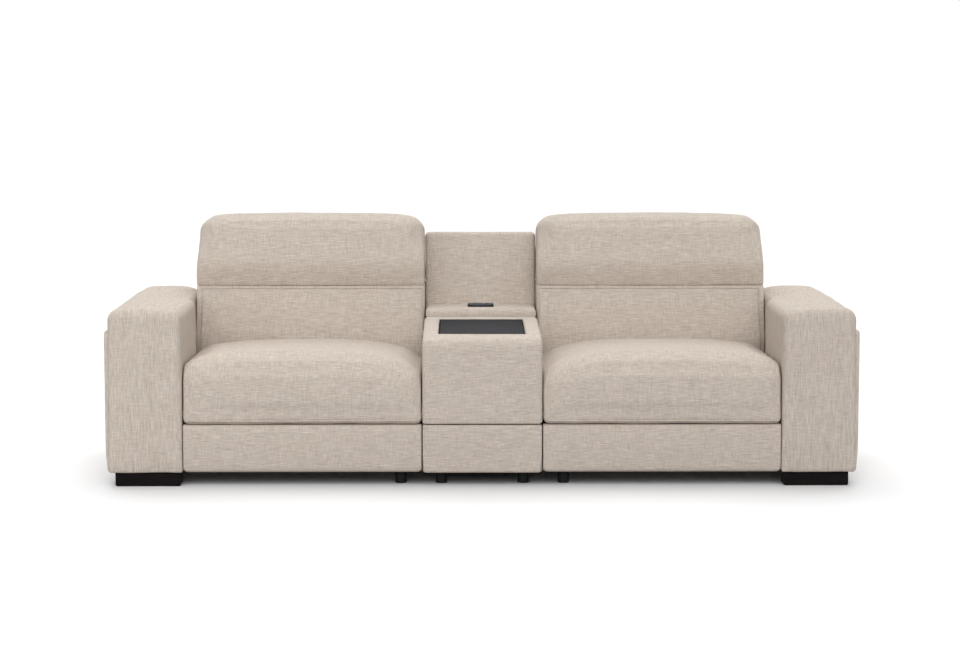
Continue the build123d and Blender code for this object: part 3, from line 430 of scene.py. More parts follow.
for side, sign in (("left", -1), ("right", 1)):
    low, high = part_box(f"{side}_arm_cover")
    shoulder = high.z - arm_crown
    seam = low.y + arm_recess_depth
    corners = [(low.y, low.z, arm_base_round), (low.y, shoulder, arm_front_round),
               (high.y, shoulder, arm_front_round), (high.y, low.z, arm_base_round)]
    outline = rounded_outline(corners, 0.018)
    outline = add_rows(outline, seam - 0.003, seam - 0.0005, seam + 0.002, seam + 0.0045, seam + 0.007)

    def arm_ease(y, z):
        rearward = float(smooth(y, low.y + 0.1, high.y - 0.2))
        over = arm_front_ease + (arm_rear_ease - arm_front_ease) * rearward
        over += arm_rear_corner * float(smooth(y, high.y - 0.16, high.y - 0.02))
        upward = float(smooth(z, low.z + 0.02, low.z + 0.56))
        upright = arm_low_ease + (arm_upright_ease - arm_low_ease) * upward
        return upright + (over - upright) * float(smooth(z, shoulder - 0.10, shoulder - 0.005))

    arm = padded_form(f"{side}_arm_upholstery", outline, low.x, high.x, arm_ease, oatmeal_upright,
                      rounds=6, rings=14)
    centre = (low.x + high.x) / 2
    half = (high.x - low.x) / 2
    inner = high.x if sign < 0 else low.x
    outer = low.x if sign < 0 else high.x

    def crown(x, y, z):
        """The top rises, the front swells, and the inner face steps back behind its seam."""
        aside = (x - centre) / half * -sign
        middle = np.where(aside > 0, 1 - aside ** 2, 1 - aside ** 4)
        rise = arm_crown + arm_rear_crown * smooth(y, low.y, high.y)
        rise = rise * middle * smooth(z, shoulder - 0.15, shoulder)
        drop = arm_inner_drop * smooth(aside, 0.6, 1.0) * smooth(y, 0, high.y)
        rise = rise - drop * smooth(z, shoulder - 0.1, shoulder)
        belly = arm_pillow * middle * smooth(low.y + 0.03 - y, -0.03, 0.03) * smooth(z, low.z, low.z + 0.1)
        narrow = 1 - arm_recess / (2 * half) * smooth(y, seam, seam + 0.005)
        return outer + (x - outer) * narrow, y - belly, z + rise

    reshape(arm, crown)
    ease_off(arm, 0.0015, 0.11, 3 + sign)
    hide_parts(f"{side}_arm_cover")
    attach(arm, "base")
    route = [(inner, seam, z) for z in np.linspace(low.z + 0.02, shoulder - 0.030, 60)]
    welt = piping(f"{side}_arm_inner_welt", arm, route, 0.0018, oatmeal_upright)
    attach(welt, "base")

    low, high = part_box(f"{side}_arm_side_pad")
    inner = high.x if sign < 0 else low.x
    thickness = high.x - low.x - panel_pillow
    high.z += panel_rise

    def along_edge(start, end):
        """Places across the panel, close together at its rounded edges."""
        fine = np.array([0, 0.0007, 0.0018, 0.0032, 0.005, 0.0075, 0.012])
        return np.concatenate([start + fine, np.linspace(start + 0.025, end - 0.025, 34), end - fine[::-1]])

    y, z = np.meshgrid(along_edge(low.y, high.y), along_edge(low.z, high.z), indexing="ij")
    aside = y - np.clip(y, low.y + panel_corner, high.y - panel_corner)
    above = z - np.clip(z, low.z + panel_corner, high.z - panel_corner)
    reach = np.hypot(aside, above)
    back_in = np.where(reach > panel_corner, panel_corner / np.maximum(reach, 1e-9), 1.0)
    y = y - aside * (1 - back_in)
    z = z - above * (1 - back_in)
    from_edge = np.minimum(panel_corner - np.minimum(reach, panel_corner), panel_ease)
    drop = panel_ease - np.sqrt(np.maximum(panel_ease ** 2 - (panel_ease - from_edge) ** 2, 0))
    toe = panel_toe / thickness
    thin = toe + (1 - toe) * smooth(z, low.z - panel_taper / 2, low.z + panel_taper)
    middle = np.clip(1 - ((y - (low.y + high.y) / 2) / ((high.y - low.y) / 2)) ** 2, 0, 1)
    tall = np.clip(1 - ((z - (low.z + high.z) / 2) / ((high.z - low.z) / 2)) ** 2, 0, 1)
    face_x = inner + sign * ((thickness - drop) * thin + panel_pillow * middle * tall)
    rows, columns = y.shape
    points = list(zip(face_x.ravel(), y.ravel(), z.ravel()))
    points += [(inner - sign * panel_sink, *place) for place in zip(y.ravel(), z.ravel())]
    size = rows * columns
    faces = []
    for row in range(rows - 1):
        for column in range(columns - 1):
            corner = row * columns + column
            face = (corner, corner + 1, corner + columns + 1, corner + columns)
            faces += [face, tuple(size + index for index in face[::-1])]
    rim = (list(range(columns - 1))
           + [row * columns + columns - 1 for row in range(rows - 1)]
           + [(rows - 1) * columns + column for column in range(columns - 1, 0, -1)]
           + [row * columns for row in range(rows - 1, 0, -1)])
    for index, corner in enumerate(rim):
        after = rim[(index + 1) % len(rim)]
        faces.append((after, corner, size + corner, size + after))
    if sign < 0:
        faces = [face[::-1] for face in faces]
    panel = new_piece(f"{side}_arm_side_panel", points, [face[::-1] for face in faces], oatmeal_upright)
    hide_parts(f"{side}_arm_side_pad")
    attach(panel, "base")


# ---------------------------------------------------------------- feet
# Each arm stands on two square blocks of solid wood, stained almost black and lacquered, and screwed up
# into its plywood box.
def dress(node, finish):
    """Gives a CAD node its finish."""
    node_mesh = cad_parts[node].data
    node_mesh.materials.clear()
    node_mesh.materials.append(finish)


def grained(wire, scale, detail):
    """Noise drawn out along a piece's own axes."""
    place = wire.node("ShaderNodeTexCoord", output=3)
    drawn = place.node("ShaderNodeVectorMath", {"operation": "MULTIPLY"}, {0: place, 1: scale})
    return place.node("ShaderNodeTexNoise", inputs={"Vector": drawn, "Scale": 1.0, "Detail": detail})


espresso, wire, shader = new_finish("espresso_wood", Specular_IOR_Level=0.1)
grain = grained(wire, (14.0, 160.0, 160.0), 4.0)
link(mixed(grain.ramp(0.35, 0.7), linear(8, 4, 5), linear(21, 13, 14)), shader, "Base Color")
link(grain * 0.2 + 0.5, shader, "Roughness")
bumped(wire, shader, grain, 0.2, 0.0004)
dress("arm_feet", espresso)


# ---------------------------------------------------------------- seats
# Foam cushions over webbing, in a cover with a rolled front edge. The cover is sewn to a narrow boxing
# with a piped seam along its lower front edge, and sits a few millimetres clear of arm and console.
def bake(piece):
    """Replaces a piece's mesh by what its modifiers make of it."""
    graph = bpy.context.evaluated_depsgraph_get()
    made = bpy.data.meshes.new_from_object(piece.evaluated_get(graph))
    finishes = [slot.material for slot in piece.material_slots]
    piece.modifiers.clear()
    piece.data = made
    made.materials.clear()
    for finish in finishes:
        made.materials.append(finish)
    made.polygons.foreach_set("use_smooth", [True] * len(made.polygons))


def plump(piece, free, voxel=0.006, pressure=4.0, most=0.006):
    """Blows a cushion up as cloth under pressure. Its front and top swell, and its other faces stay where
    they rest. free(x, y, z) is 0 where a seam holds the cloth, and 1 where it may move."""
    remesh = piece.modifiers.new("remesh", "REMESH")
    remesh.mode = "VOXEL"
    remesh.voxel_size = voxel
    relax = piece.modifiers.new("relax", "SMOOTH")
    relax.factor = 0.5
    relax.iterations = 2
    bake(piece)
    mesh = piece.data
    count = len(mesh.vertices)
    start, normal = np.empty(count * 3), np.empty(count * 3)
    mesh.vertices.foreach_get("co", start)
    mesh.vertices.foreach_get("normal", normal)
    start, normal = start.reshape(-1, 3), normal.reshape(-1, 3)
    share = smooth(np.maximum(-normal[:, 1], normal[:, 2]), 0.3, 0.9) * free(*start.T)
    start = start - normal * (share * most * 0.8)[:, None]
    mesh.vertices.foreach_set("co", start.ravel())
    mesh.update()
    cloth = piece.modifiers.new("cloth", "CLOTH")
    cloth.settings.use_pressure = True
    cloth.settings.uniform_pressure_force = pressure
    cloth.settings.quality = 3
    cloth.settings.effector_weights.gravity = 0
    for number in range(1, 21):
        bpy.context.scene.frame_set(number)
    bake(piece)
    bpy.context.scene.frame_set(1)
    after = np.empty(count * 3)
    piece.data.vertices.foreach_get("co", after)
    move = after.reshape(-1, 3) - start
    length = np.linalg.norm(move, axis=1)[:, None]
    move *= most * np.tanh(length / most) / np.maximum(length, 1e-9) * share[:, None]
    piece.data.vertices.foreach_set("co", (start + move).ravel())
    piece.data.update()


def sewn(pattern, name, side, unevenness, size, seed):
    """One side's cushion: the left one as made, the right one mirrored, each uneven in its own way."""
    made = pattern.copy()
    made.data = pattern.data.copy()
    made.name = name
    bpy.context.scene.collection.objects.link(made)
    if side == "right":
        reshape(made, lambda x, y, z: (-x, y, z))
        made.data.flip_normals()
    ease_off(made, unevenness, size, seed)
    made.modifiers.new("fine", "SUBSURF").levels = 1
    bake(made)
    return made


seat_front_round = 0.075
seat_toe = 0.008
seat_edge_ease = 0.021
seat_low_ease = 0.016
seat_outer_fall = 0.032
seat_inner_fall = 0.062
seat_belly = 0.012
seam_straight = 0.385
seam_upturn = 0.010
upturn_run = 0.012

low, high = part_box("left_seat_cushion")
centre = (low.x + high.x) / 2
half = (high.x - low.x) / 2
rear_top = high.z - 0.011
outline = rounded_outline([(low.y, low.z + 0.016, 0.010), (low.y, high.z, seat_front_round),
                           (high.y, rear_top, 0.020), (high.y, low.z, 0.010),
                           (low.y + seat_toe, low.z, 0.008)], 0.016)
pattern = padded_form("seat_pattern", outline, low.x, high.x,
                      lambda y, z: seat_low_ease + (seat_edge_ease - seat_low_ease)
                      * float(smooth(z, low.z + 0.05, high.z - 0.1)), oatmeal_across)


def dome(x, y, z):
    """The top falls to both sides, further towards the console, and the front swells."""
    u = np.abs((x - centre) / half)
    fall = np.where(x > centre, seat_inner_fall, seat_outer_fall) * u ** 3.25
    weight = smooth(z, low.z + 0.08, rear_top - 0.02)
    rounded = smooth(z, low.z, low.z + 0.06) * (1 - smooth(z, low.z + 0.04, high.z + 0.02))
    belly = seat_belly * (1 - u ** 2) * smooth(low.y + 0.05 - y, -0.02, 0.05) * rounded
    return x, y - belly, z - fall * weight


reshape(pattern, dome)
plump(pattern, lambda x, y, z: smooth(z, low.z + 0.015, low.z + 0.07))
for side, sign in (("left", -1), ("right", 1)):
    low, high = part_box(f"{side}_seat_cushion")
    cover = sewn(pattern, f"{side}_seat_cushion_cover", side, 0.0020, 0.13, 5 + sign)
    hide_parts(f"{side}_seat_cushion")
    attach(cover, f"{side}_seat")
    seam_height = low.z + 0.012
    middle = (low.x + high.x) / 2
    route = [(low.x, low.y + 0.06, low.z + 0.06), (low.x, low.y + 0.035, low.z + 0.035)]
    for x in np.linspace(low.x + 0.003, high.x - 0.003, 90):
        upturn = seam_upturn * max(0, abs(x - middle) - seam_straight) / upturn_run
        route.append((x, low.y, seam_height + upturn))
    route += [(high.x, low.y + 0.035, low.z + 0.035), (high.x, low.y + 0.06, low.z + 0.06)]
    welt = piping(f"{side}_seat_front_welt", cover, route, 0.0026, oatmeal_across, sink=0.15)
    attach(welt, f"{side}_seat")
bpy.data.objects.remove(pattern)

# ---------------------------------------------------------------- backs
# The lumbar cushion stands behind the seat, with a sewn seam round its face. A padded shell wraps the
# back frame from behind and shows as a narrow wing down each side.
wing_setback = 0.005
back_slant = 0.015
shell_ease = 0.006
lumbar_inner_gain = 0.004
lumbar_side_ease = 0.007
lumbar_swell = 0.008
knee = 0.438
knee_round = 0.12
welt_bottom = 0.36
low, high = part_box("left_lumbar_cushion")
centre = (low.x + high.x) / 2
half = (high.x - low.x) / 2
top_front = low.y + 0.050
top_rear = top_front + 0.072
outline = rounded_outline([(low.y, low.z, 0.015), (low.y, knee, knee_round), (top_front, high.z, 0.007),
                           (top_rear, high.z, 0.006), (low.y + 0.100, low.z, 0.010)], 0.016)
pattern = padded_form("lumbar_pattern", outline, low.x, high.x + lumbar_inner_gain,
                      lambda y, z: lumbar_side_ease, oatmeal_across)


def swell(x, y, z):
    """The face is fullest in its middle."""
    u = np.abs((x - centre) / half)
    v = np.clip((z - knee) / (high.z - knee), 0, 1)
    fore = smooth(top_rear - 0.02 - y, -0.02, 0.05)
    return x, y - lumbar_swell * (1 - u ** 4) * 4 * v * (1 - v) * fore, z


reshape(pattern, swell)
plump(pattern, lambda x, y, z: smooth(high.z - z, 0.012, 0.05)
      * smooth(half - np.abs(x - centre), 0.010, 0.05), voxel=0.005, most=0.005)
for side, sign in (("left", -1), ("right", 1)):
    low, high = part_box(f"{side}_lumbar_cushion")
    lumbar = sewn(pattern, f"{side}_lumbar_cover", side, 0.0014, 0.12, 8 + sign)
    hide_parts(f"{side}_lumbar_cushion")
    edge = 0.003
    turn = 0.010
    welt_top = high.z - 0.009
    first = low.x + edge - (lumbar_inner_gain if sign > 0 else 0)
    last = high.x - edge + (lumbar_inner_gain if sign < 0 else 0)
    fore = top_front - 0.003
    bends = [(turn * (1 - math.cos(angle)), turn * math.sin(angle))
             for angle in np.linspace(0, math.pi / 2, 6)]
    route = [(first, low.y, z) for z in np.linspace(welt_bottom, welt_top - turn, 30)]
    route += [(first + aside, fore, welt_top - turn + up) for aside, up in bends]
    route += [(x, fore, welt_top) for x in np.linspace(first + 0.017, last - 0.017, 70)]
    route += [(last - aside, fore, welt_top - turn + up) for aside, up in bends[::-1]]
    route += [(last, low.y, z) for z in np.linspace(welt_top - turn, welt_bottom, 30)]
    welt = piping(f"{side}_lumbar_welt", lumbar, route, 0.0019, oatmeal_across, sink=0.2)
    middle = (low.x + high.x) / 2
    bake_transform(lumbar)
    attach(welt, f"{side}_back")

    low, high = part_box(f"{side}_outside_back")
    wing_front = low.y - 0.009 + wing_setback
    outline = rounded_outline([(wing_front, low.z, 0.004), (wing_front, knee, knee_round),
                               (top_front + wing_setback, high.z, 0.005), (high.y, high.z, 0.006),
                               (high.y - back_slant, low.z, 0.008)], 0.018)
    shell = padded_form(f"{side}_outside_back_cover", outline, low.x, high.x, lambda y, z: shell_ease,
                        oatmeal_across)
    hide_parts(f"{side}_outside_back")
    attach(shell, f"{side}_back")
bpy.data.objects.remove(pattern)

# ---------------------------------------------------------------- headrests
# A deep rounded cushion over a plywood board. Its cloth is sewn to the back along the bottom edge.
headrest_lap = 0.004
headrest_low_ease = 0.004
headrest_top_ease = 0.044
headrest_free_height = 0.18
low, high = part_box("left_headrest_cushion")
centre = (low.x + high.x) / 2
half = (high.x - low.x) / 2
bottom = low.z - headrest_lap
corners = [(low.y + 0.030, bottom, 0.007), (low.y + 0.008, low.z + 0.070, 0.08),
           (low.y + 0.070, high.z - 0.004, 0.052), (low.y + 0.156, high.z, 0.10),
           (high.y, high.z - 0.020, 0.080), (high.y - 0.012, bottom, 0.010)]
pattern = padded_form("headrest_pattern", rounded_outline(corners, 0.016), low.x, high.x,
                      lambda y, z: headrest_low_ease
                      + headrest_top_ease * float(smooth(z, low.z + 0.02, high.z - 0.03)),
                      oatmeal_across, rounds=9)


def arch(x, y, z):
    """The top falls to both sides, and the sides draw in towards it."""
    u = np.abs((x - centre) / half)
    tall = (z - low.z) / (high.z - low.z)
    fall = (0.009 * u ** 2.5 + 0.007 * u ** 8) * smooth(tall, 0.3, 1.0)
    slope = np.where(x < centre, 0.008, 0.0025)
    pull = slope * np.clip(tall, 0, 1) * u ** 2
    return x - np.sign(x - centre) * pull, y - 0.004 * (1 - u ** 2), z - fall


reshape(pattern, arch)
plump(pattern, lambda x, y, z: smooth(z, low.z, low.z + headrest_free_height), most=0.005)
for side, sign in (("left", -1), ("right", 1)):
    low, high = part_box(f"{side}_headrest_cushion")
    headrest = sewn(pattern, f"{side}_headrest_cover", side, 0.0020, 0.14, 11 + sign)
    reshape(headrest, lambda x, y, z: (np.clip(x, low.x, high.x), y, z))
    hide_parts(f"{side}_headrest_cushion")
    middle = (low.x + high.x) / 2
    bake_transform(headrest)
bpy.data.objects.remove(pattern)

# ---------------------------------------------------------------- footrests
# A plywood board wrapped in thin foam and cloth, closed behind with black lining. The cloth is pulled
# tight round the board's edges and rounded at the lower corners.
# Black lining cloth. The same black is also painted shade: the sheets under the boxes and the cord round the
# console lid.
lining_and_painted_shade, wire, shader = new_finish("black_lining", Roughness=0.95, Specular_IOR_Level=0.1)
threads = wire.node("ShaderNodeTexNoise", inputs={"Scale": 900.0, "Detail": 2.0})
link(mixed(threads, linear(14, 14, 15), linear(28, 28, 30)), shader, "Base Color")
bumped(wire, shader, threads, 0.3, 0.0003)

footrest_wrap = 0.0010
footrest_depth = 0.0415
footrest_puff = 0.004
pad_edge_ease = 0.0065
pad_rear_ease = 0.0012
pad_bottom_ease = 0.010

for side in ("left", "right"):
    low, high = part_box(f"{side}_footrest_pad")
    rear = low.y + footrest_depth
    under = low.z - footrest_wrap
    over = high.z + footrest_wrap * 0.6
    outline = rounded_outline([(low.y, under, 0.010), (low.y, over, 0.009), (rear, over, 0.002),
                               (rear, under, 0.002)], 0.012)

    def pad_ease(y, z):
        behind = float(smooth(y, low.y + 0.006, low.y + 0.018))
        bottom = pad_bottom_ease * float(smooth(under + 0.012 - z, 0, 0.008)) * (y < rear - 0.006)
        fore = pad_edge_ease + bottom
        return fore + (pad_rear_ease + bottom * 0.9 - pad_edge_ease - bottom) * behind

    pad = padded_form(f"{side}_footrest_cover", outline, low.x - footrest_wrap, high.x + footrest_wrap,
                      pad_ease, oatmeal_across)
    pad.data.materials.append(lining_and_painted_shade)
    for face in pad.data.polygons:
        if face.center.y > rear - 0.0005:
            face.material_index = 1

    def puff(x, y, z):
        """The face swells a little between its edges."""
        u = np.abs((x - (low.x + high.x) / 2) / ((high.x - low.x) / 2))
        v = np.abs((z - (low.z + high.z) / 2) / ((high.z - low.z) / 2))
        fore = y < low.y + 0.012
        return x, y - footrest_puff * np.clip(1 - u ** 8, 0, 1) * np.clip(1 - v ** 3, 0, 1) * fore, z

    reshape(pad, puff)
    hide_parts(f"{side}_footrest_pad")
    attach(pad, f"{side}_footrest")

# ---------------------------------------------------------------- console
# A plywood box in padded cloth between the seats: sloping top with a charcoal lid over the bin, a base
# panel, a raised ledge with the power hub, and an upholstered back behind it.
charcoal, wire, shader = new_finish("charcoal_leather", Specular_IOR_Level=0.09)
place = wire.node("ShaderNodeTexCoord", output=3)
pebbles = place.node("ShaderNodeTexVoronoi", {"feature": "SMOOTH_F1"}, {"Vector": place, "Scale": 620.0})
wear = place.node("ShaderNodeTexNoise", inputs={"Vector": place, "Scale": 18.0, "Detail": 4.0})
link(mixed(wear, linear(21, 21, 25), linear(30, 30, 35)), shader, "Base Color")
link(wear * 0.12 + 0.64, shader, "Roughness")
bumped(wire, shader, pebbles, 0.25, 0.0004)

low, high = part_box("console_cover")
lid_low, lid_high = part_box("console_lid")
front_top = 0.495
rear_top = high.z
console_front_round = 0.036
console_side_ease = 0.012
console_rear_ease = 0.013
outline = rounded_outline([(low.y, low.z, 0.006), (low.y, front_top, console_front_round),
                           (high.y, rear_top, 0.012), (high.y, low.z, 0.004)], 0.018)
cover = padded_form("console_top_cover", outline, low.x, high.x,
                    lambda y, z: console_side_ease + (console_rear_ease - console_side_ease)
                    * float(smooth(y, high.y - 0.06, high.y)), oatmeal_across, rounds=6, rings=14)
ease_off(cover, 0.0007, 0.12, 21)
opening_gap = 0.0018
opening_bottom = 0.300
opening_top = 0.60
cutter_outline = [(lid_low.y - opening_gap, opening_bottom), (lid_low.y - opening_gap, opening_top),
                  (lid_high.y + opening_gap, opening_top), (lid_high.y + opening_gap, opening_bottom)]
cutter = padded_form("lid_opening", [Vector(p) for p in cutter_outline], lid_low.x - opening_gap,
                     lid_high.x + opening_gap, lambda y, z: 0.0001, charcoal, rounds=1, rings=1)
cut = cover.modifiers.new("cut", "BOOLEAN")
cut.object = cutter
cut.operation = "DIFFERENCE"
bake(cover)
bpy.data.objects.remove(cutter)
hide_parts("console_cover")
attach(cover, "base")

lid_thickness = 0.036
lid_edge_round = 0.004
lid_rear_round = 0.017
slope = (rear_top - front_top) / (high.y - low.y - console_front_round)


def top_line(y):
    """Height of the console's sloping top."""
    return rear_top - slope * (high.y - y)


front_height, rear_height = top_line(lid_low.y), top_line(lid_high.y)
corners = [(lid_low.y, front_height - lid_thickness, lid_edge_round),
           (lid_low.y, front_height, lid_edge_round), (lid_high.y, rear_height, lid_rear_round),
           (lid_high.y, rear_height - lid_thickness, lid_rear_round)]
outline = rounded_outline(corners, 0.02)
lid = padded_form("console_lid_pad", outline, lid_low.x, lid_high.x, lambda y, z: 0.003, charcoal)
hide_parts("console_lid")
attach(lid, "console_lid")
# A black cord along the lid's top edge: its piping, and painted shade that darkens the gap round the lid.
rim = 0.003
front_line = lid_low.y + rim
rear_line = lid_high.y - rim - 0.006
left_line, right_line = lid_low.x + rim, lid_high.x - rim
route = [(x, front_line, top_line(front_line)) for x in np.linspace(left_line, right_line, 30)]
route += [(right_line, y, top_line(y)) for y in np.linspace(front_line, rear_line, 30)[1:]]
route += [(x, rear_line, top_line(rear_line)) for x in np.linspace(right_line, left_line, 30)[1:]]
route += [(left_line, y, top_line(y)) for y in np.linspace(rear_line, front_line, 30)[1:]]
welt = piping("console_lid_welt_painted_shade", lid, route, 0.0016, lining_and_painted_shade, sink=1.0)
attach(welt, "console_lid")

low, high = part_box("console_front_panel")
base_overhang = 0.0025
base_drop = 0.004
outline = rounded_outline([(low.y, low.z - base_drop, 0.008), (low.y, high.z, 0.008),
                           (high.y, high.z, 0.003), (high.y, low.z - base_drop, 0.003)], 0.014)
panel = padded_form("console_base_cover", outline, low.x - base_overhang, high.x + base_overhang,
                    lambda y, z: 0.004 + 0.009 * float(smooth(-z, -low.z - 0.05, -low.z)), oatmeal_across)
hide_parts("console_front_panel")
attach(panel, "base")

low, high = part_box("console_ledge")
ledge_nose = 0.002
ledge_ease = 0.014
outline = rounded_outline([(low.y - ledge_nose, low.z, 0.004), (low.y - ledge_nose, high.z, 0.015),
                           (high.y, high.z, 0.002), (high.y, low.z, 0.002)], 0.014)
ledge = padded_form("console_ledge_cover", outline, low.x, high.x, lambda y, z: ledge_ease,
                    oatmeal_across, rounds=6)
ease_off(ledge, 0.0006, 0.1, 23)
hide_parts("console_ledge")
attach(ledge, "base")
ledge_top = high.z
ledge_rear = high.y
ledge_front = low.y

low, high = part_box("console_back")
back_top_front = high.y - 0.054
back_overhang = 0.0033
back_flare = 0.0009
back_swell = 0.006
ledge_bottom = ledge_top - 0.033
outline = rounded_outline([(ledge_front, low.z, 0.004), (ledge_front, ledge_bottom, 0.004),
                           (ledge_rear, ledge_bottom, 0.002), (ledge_rear, ledge_top, 0.004),
                           (back_top_front - 0.008, high.z, 0.016), (high.y, high.z, 0.022),
                           (high.y, low.z, 0.004)], 0.016)
back = padded_form("console_back_cover", outline, low.x - back_overhang, high.x + back_overhang,
                   lambda y, z: 0.012 + 0.003 * float(smooth(z, high.z - 0.10, high.z - 0.02)),
                   oatmeal_across, rounds=6, rings=10, heart=((ledge_rear + high.y) / 2 - 0.03, 0.33))


def cushion(x, y, z):
    """The face is fullest in its middle, and the top is a little wider."""
    u = np.abs((x - (low.x + high.x) / 2) / ((high.x - low.x) / 2))
    v = np.clip((z - ledge_top) / (high.z - ledge_top), 0, 1)
    fore = (y < high.y - 0.03) * smooth(z, ledge_top, ledge_top + 0.03)
    wider = 1 + back_flare / high.x * smooth(z, 0.62, 0.70)
    return x * wider, y - back_swell * (1 - u ** 4) * 4 * v * (1 - v) * fore, z


reshape(back, cushion)
ease_off(back, 0.0008, 0.12, 25)
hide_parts("console_back")
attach(back, "base")

# ---------------------------------------------------------------- power hub and controls
# The hub is a low moulded housing with a brushed top plate, let into the ledge. Each seat's two rocker
# switches sit in a plate on the side of the console.
black_plastic, wire, shader = new_finish("black_plastic", Specular_IOR_Level=0.25)
place = wire.node("ShaderNodeTexCoord", output=3)
spark = place.node("ShaderNodeTexNoise", inputs={"Vector": place, "Scale": 1400.0, "Detail": 2.0})
link(mixed(spark, linear(16, 16, 17), linear(30, 30, 32)), shader, "Base Color")
link(spark * 0.15 + 0.45, shader, "Roughness")
bumped(wire, shader, spark, 0.3, 0.0002)

hub_grey, wire, shader = new_finish("hub_grey", Metallic=0.2, Specular_IOR_Level=0.2)
scratch = grained(wire, (40.0, 900.0, 900.0), 3.0)
link(mixed(scratch, linear(70, 76, 86), linear(92, 98, 108)), shader, "Base Color")
link(scratch * 0.2 + 0.5, shader, "Roughness")


def moulded(name, centre, width, depth, corner, levels, finish):
    """A moulding with rounded corners, made of levels of (inset, height) from the bottom up."""
    points = []
    count = 40
    for inset, height in levels:
        half_width, half_depth = width / 2 - inset, depth / 2 - inset
        radius = max(corner - inset, 0.0002)
        for index in range(count):
            angle = 2 * math.pi * (index + 0.5) / count
            side_x = math.copysign(half_width - radius, math.cos(angle))
            side_y = math.copysign(half_depth - radius, math.sin(angle))
            points.append((centre[0] + side_x + radius * math.cos(angle),
                           centre[1] + side_y + radius * math.sin(angle), height))
    faces = []
    for level in range(len(levels) - 1):
        for index in range(count):
            after = (index + 1) % count
            faces.append((level * count + index, level * count + after,
                          (level + 1) * count + after, (level + 1) * count + index))
    faces.append(tuple(range(count))[::-1])
    faces.append(tuple(range((len(levels) - 1) * count, len(levels) * count)))
    made = new_piece(name, points, faces, finish)
    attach(made, "base")
    return made


low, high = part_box("power_hub")
plate_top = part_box("power_hub_plate")[1].z
centre = ((low.x + high.x) / 2, (low.y + high.y) / 2)
width, depth = high.x - low.x, high.y - low.y
hub_rise = 0.0030
rim_top = plate_top + hub_rise
housing = moulded("power_hub_housing", centre, width + 0.002, depth + 0.003, 0.014,
                  [(0, low.z - 0.002), (0, low.z + 0.0025), (0.0008, rim_top - 0.0022),
                   (0.0014, rim_top - 0.0010), (0.0024, rim_top - 0.0002), (0.0038, rim_top),
                   (0.0046, rim_top - 0.0004), (0.0048, rim_top - 0.0014)], black_plastic)
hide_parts("power_hub")
deck = moulded("power_hub_deck", centre, width - 0.008, depth - 0.008, 0.0095,
               [(0, rim_top - 0.003), (0, rim_top - 0.0008), (0.0003, rim_top - 0.0003),
                (0.0009, rim_top)], hub_grey)
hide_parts("power_hub_plate")
for number, place_x in enumerate((-0.022, 0.0)):
    collar = moulded(f"power_hub_port_{number + 1}", (centre[0] + place_x, centre[1]), 0.016, 0.0085, 0.0015,
                     [(0, rim_top - 0.001), (0, rim_top + 0.0003), (0.0003, rim_top + 0.0006),
                      (0.0012, rim_top + 0.0006), (0.0015, rim_top + 0.0003), (0.0015, rim_top - 0.0002)],
                     black_plastic)
button = moulded("power_hub_button", (centre[0] + 0.024, centre[1]), 0.012, 0.012, 0.006,
                 [(0, rim_top - 0.001), (0, rim_top + 0.0006), (0.0006, rim_top + 0.0012),
                  (0.0020, rim_top + 0.0010), (0.0040, rim_top + 0.0007)], black_plastic)
for node in ("base_glides", "console_bin", "switch_plates", "left_recline_rocker",
             "left_headrest_rocker", "right_recline_rocker", "right_headrest_rocker"):
    dress(node, black_plastic)

# ---------------------------------------------------------------- frames and mechanisms
# Boards of plywood, raw where they stay covered and stained dark where they can be seen, are screwed and
# glued into boxes. The mechanism is pressed and welded steel, powder coated, with moulded motors, and
# ribbed elastic webbing carries the seat cushions.
def board_finish(name, dark, light, dullness, **constants):
    """Plywood with its grain drawn out level."""
    finish, wire, shader = new_finish(name, **constants)
    grain = grained(wire, (9.0, 9.0, 110.0), 5.0)
    link(mixed(grain.ramp(0.3, 0.75), dark, light), shader, "Base Color")
    link(grain * 0.25 + dullness, shader, "Roughness")
    return finish


plywood = board_finish("plywood", linear(190, 152, 106), linear(214, 182, 138), 0.5)
stained_plywood = board_finish("stained_plywood", linear(24, 22, 21), linear(44, 40, 37), 0.6,
                               Specular_IOR_Level=0.2)

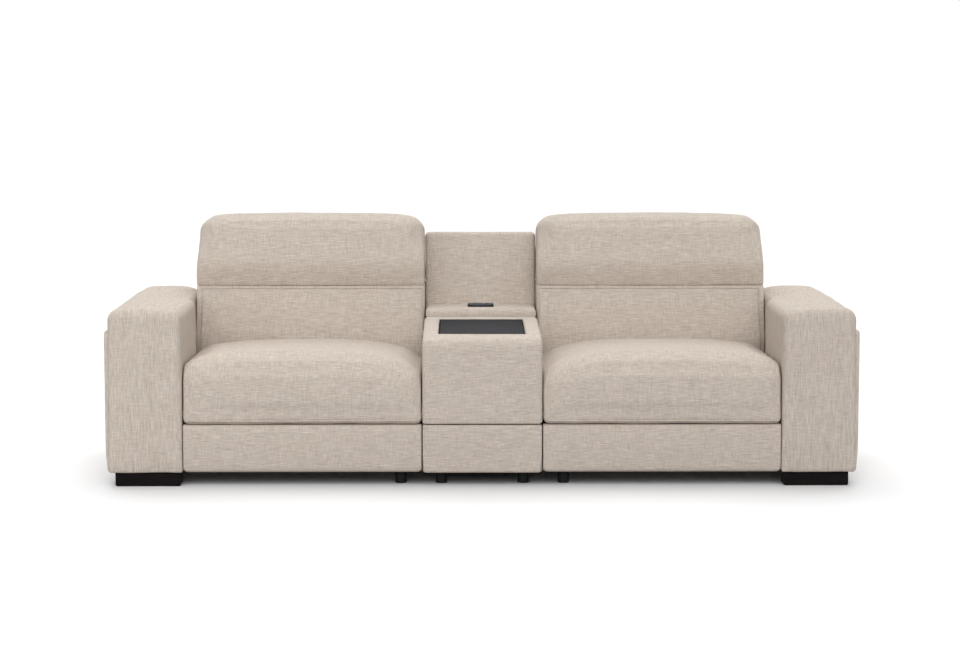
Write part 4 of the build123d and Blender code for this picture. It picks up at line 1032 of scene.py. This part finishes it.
black_steel, wire, shader = new_finish("black_steel", Metallic=0.2)
place = wire.node("ShaderNodeTexCoord", output=3)
orange_peel = place.node("ShaderNodeTexNoise", inputs={"Vector": place, "Scale": 500.0, "Detail": 2.0})
link(mixed(orange_peel, linear(26, 26, 28), linear(40, 40, 42)), shader, "Base Color")
link(orange_peel * 0.15 + 0.38, shader, "Roughness")
bumped(wire, shader, orange_peel, 0.2, 0.0002)

webbing, wire, shader = new_finish("webbing", Roughness=0.9)
place = wire.node("ShaderNodeTexCoord", output=3)
split = place.node("ShaderNodeSeparateXYZ", inputs={0: place})
rib_pitch = 0.004
ribs = (split * (2 * math.pi / rib_pitch)).maths("SINE") * 0.5 + 0.5
link(mixed(ribs, linear(52, 50, 48), linear(92, 88, 84)), shader, "Base Color")
bumped(wire, shader, ribs, 0.4, 0.0005)

dress("console_carcass", stained_plywood)
dress("console_lid_pins", black_steel)
for side in ("left", "right"):
    for node in ("arm_frame", "back_frame", "headrest_board"):
        dress(f"{side}_{node}", plywood)
    dress(f"{side}_seat_frame", stained_plywood)
    for node in ("base_frame", "recline_brackets", "footrest_inner_links", "footrest_outer_links",
                 "footrest_board", "back_brackets", "headrest_hinges"):
        dress(f"{side}_{node}", black_steel)
    for node in ("recline_drive", "headrest_drive"):
        dress(f"{side}_{node}", black_plastic)
    dress(f"{side}_seat_webbing", webbing)


# ---------------------------------------------------------------- dust covers and painted shade
# Thin black cloth closes the boxes of the arms and the console from below. It is cut a little smaller
# than the box, pulled tight and stapled all round. Its black is also painted shade: it darkens the
# underside of the sofa.
def dust_cover_painted_shade(name, node):
    """A stretched sheet under a box, sagging a little between its staples. Its black paints shade under the
    sofa.
    """
    low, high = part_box(node)
    across, along = 14, 30
    margin = 0.003
    width = high.x - low.x - 2 * margin
    length = high.y - low.y - 2 * margin
    points = []
    for row in range(along + 1):
        for column in range(across + 1):
            u, v = column / across, row / along
            sag = 0.002 * (1 - (2 * u - 1) ** 4) * (1 - (2 * v - 1) ** 8)
            points.append((low.x + margin + width * u, low.y + margin + length * v, low.z - 0.0008 - sag))
    faces = []
    for row in range(along):
        for column in range(across):
            corner = row * (across + 1) + column
            faces.append((corner, corner + across + 1, corner + across + 2, corner + 1))
    sheet = new_piece(name, points, faces, lining_and_painted_shade)
    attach(sheet, "base")


dust_cover_painted_shade("left_arm_dust_cover", "left_arm_frame")
dust_cover_painted_shade("right_arm_dust_cover", "right_arm_frame")
dust_cover_painted_shade("console_dust_cover", "console_carcass")
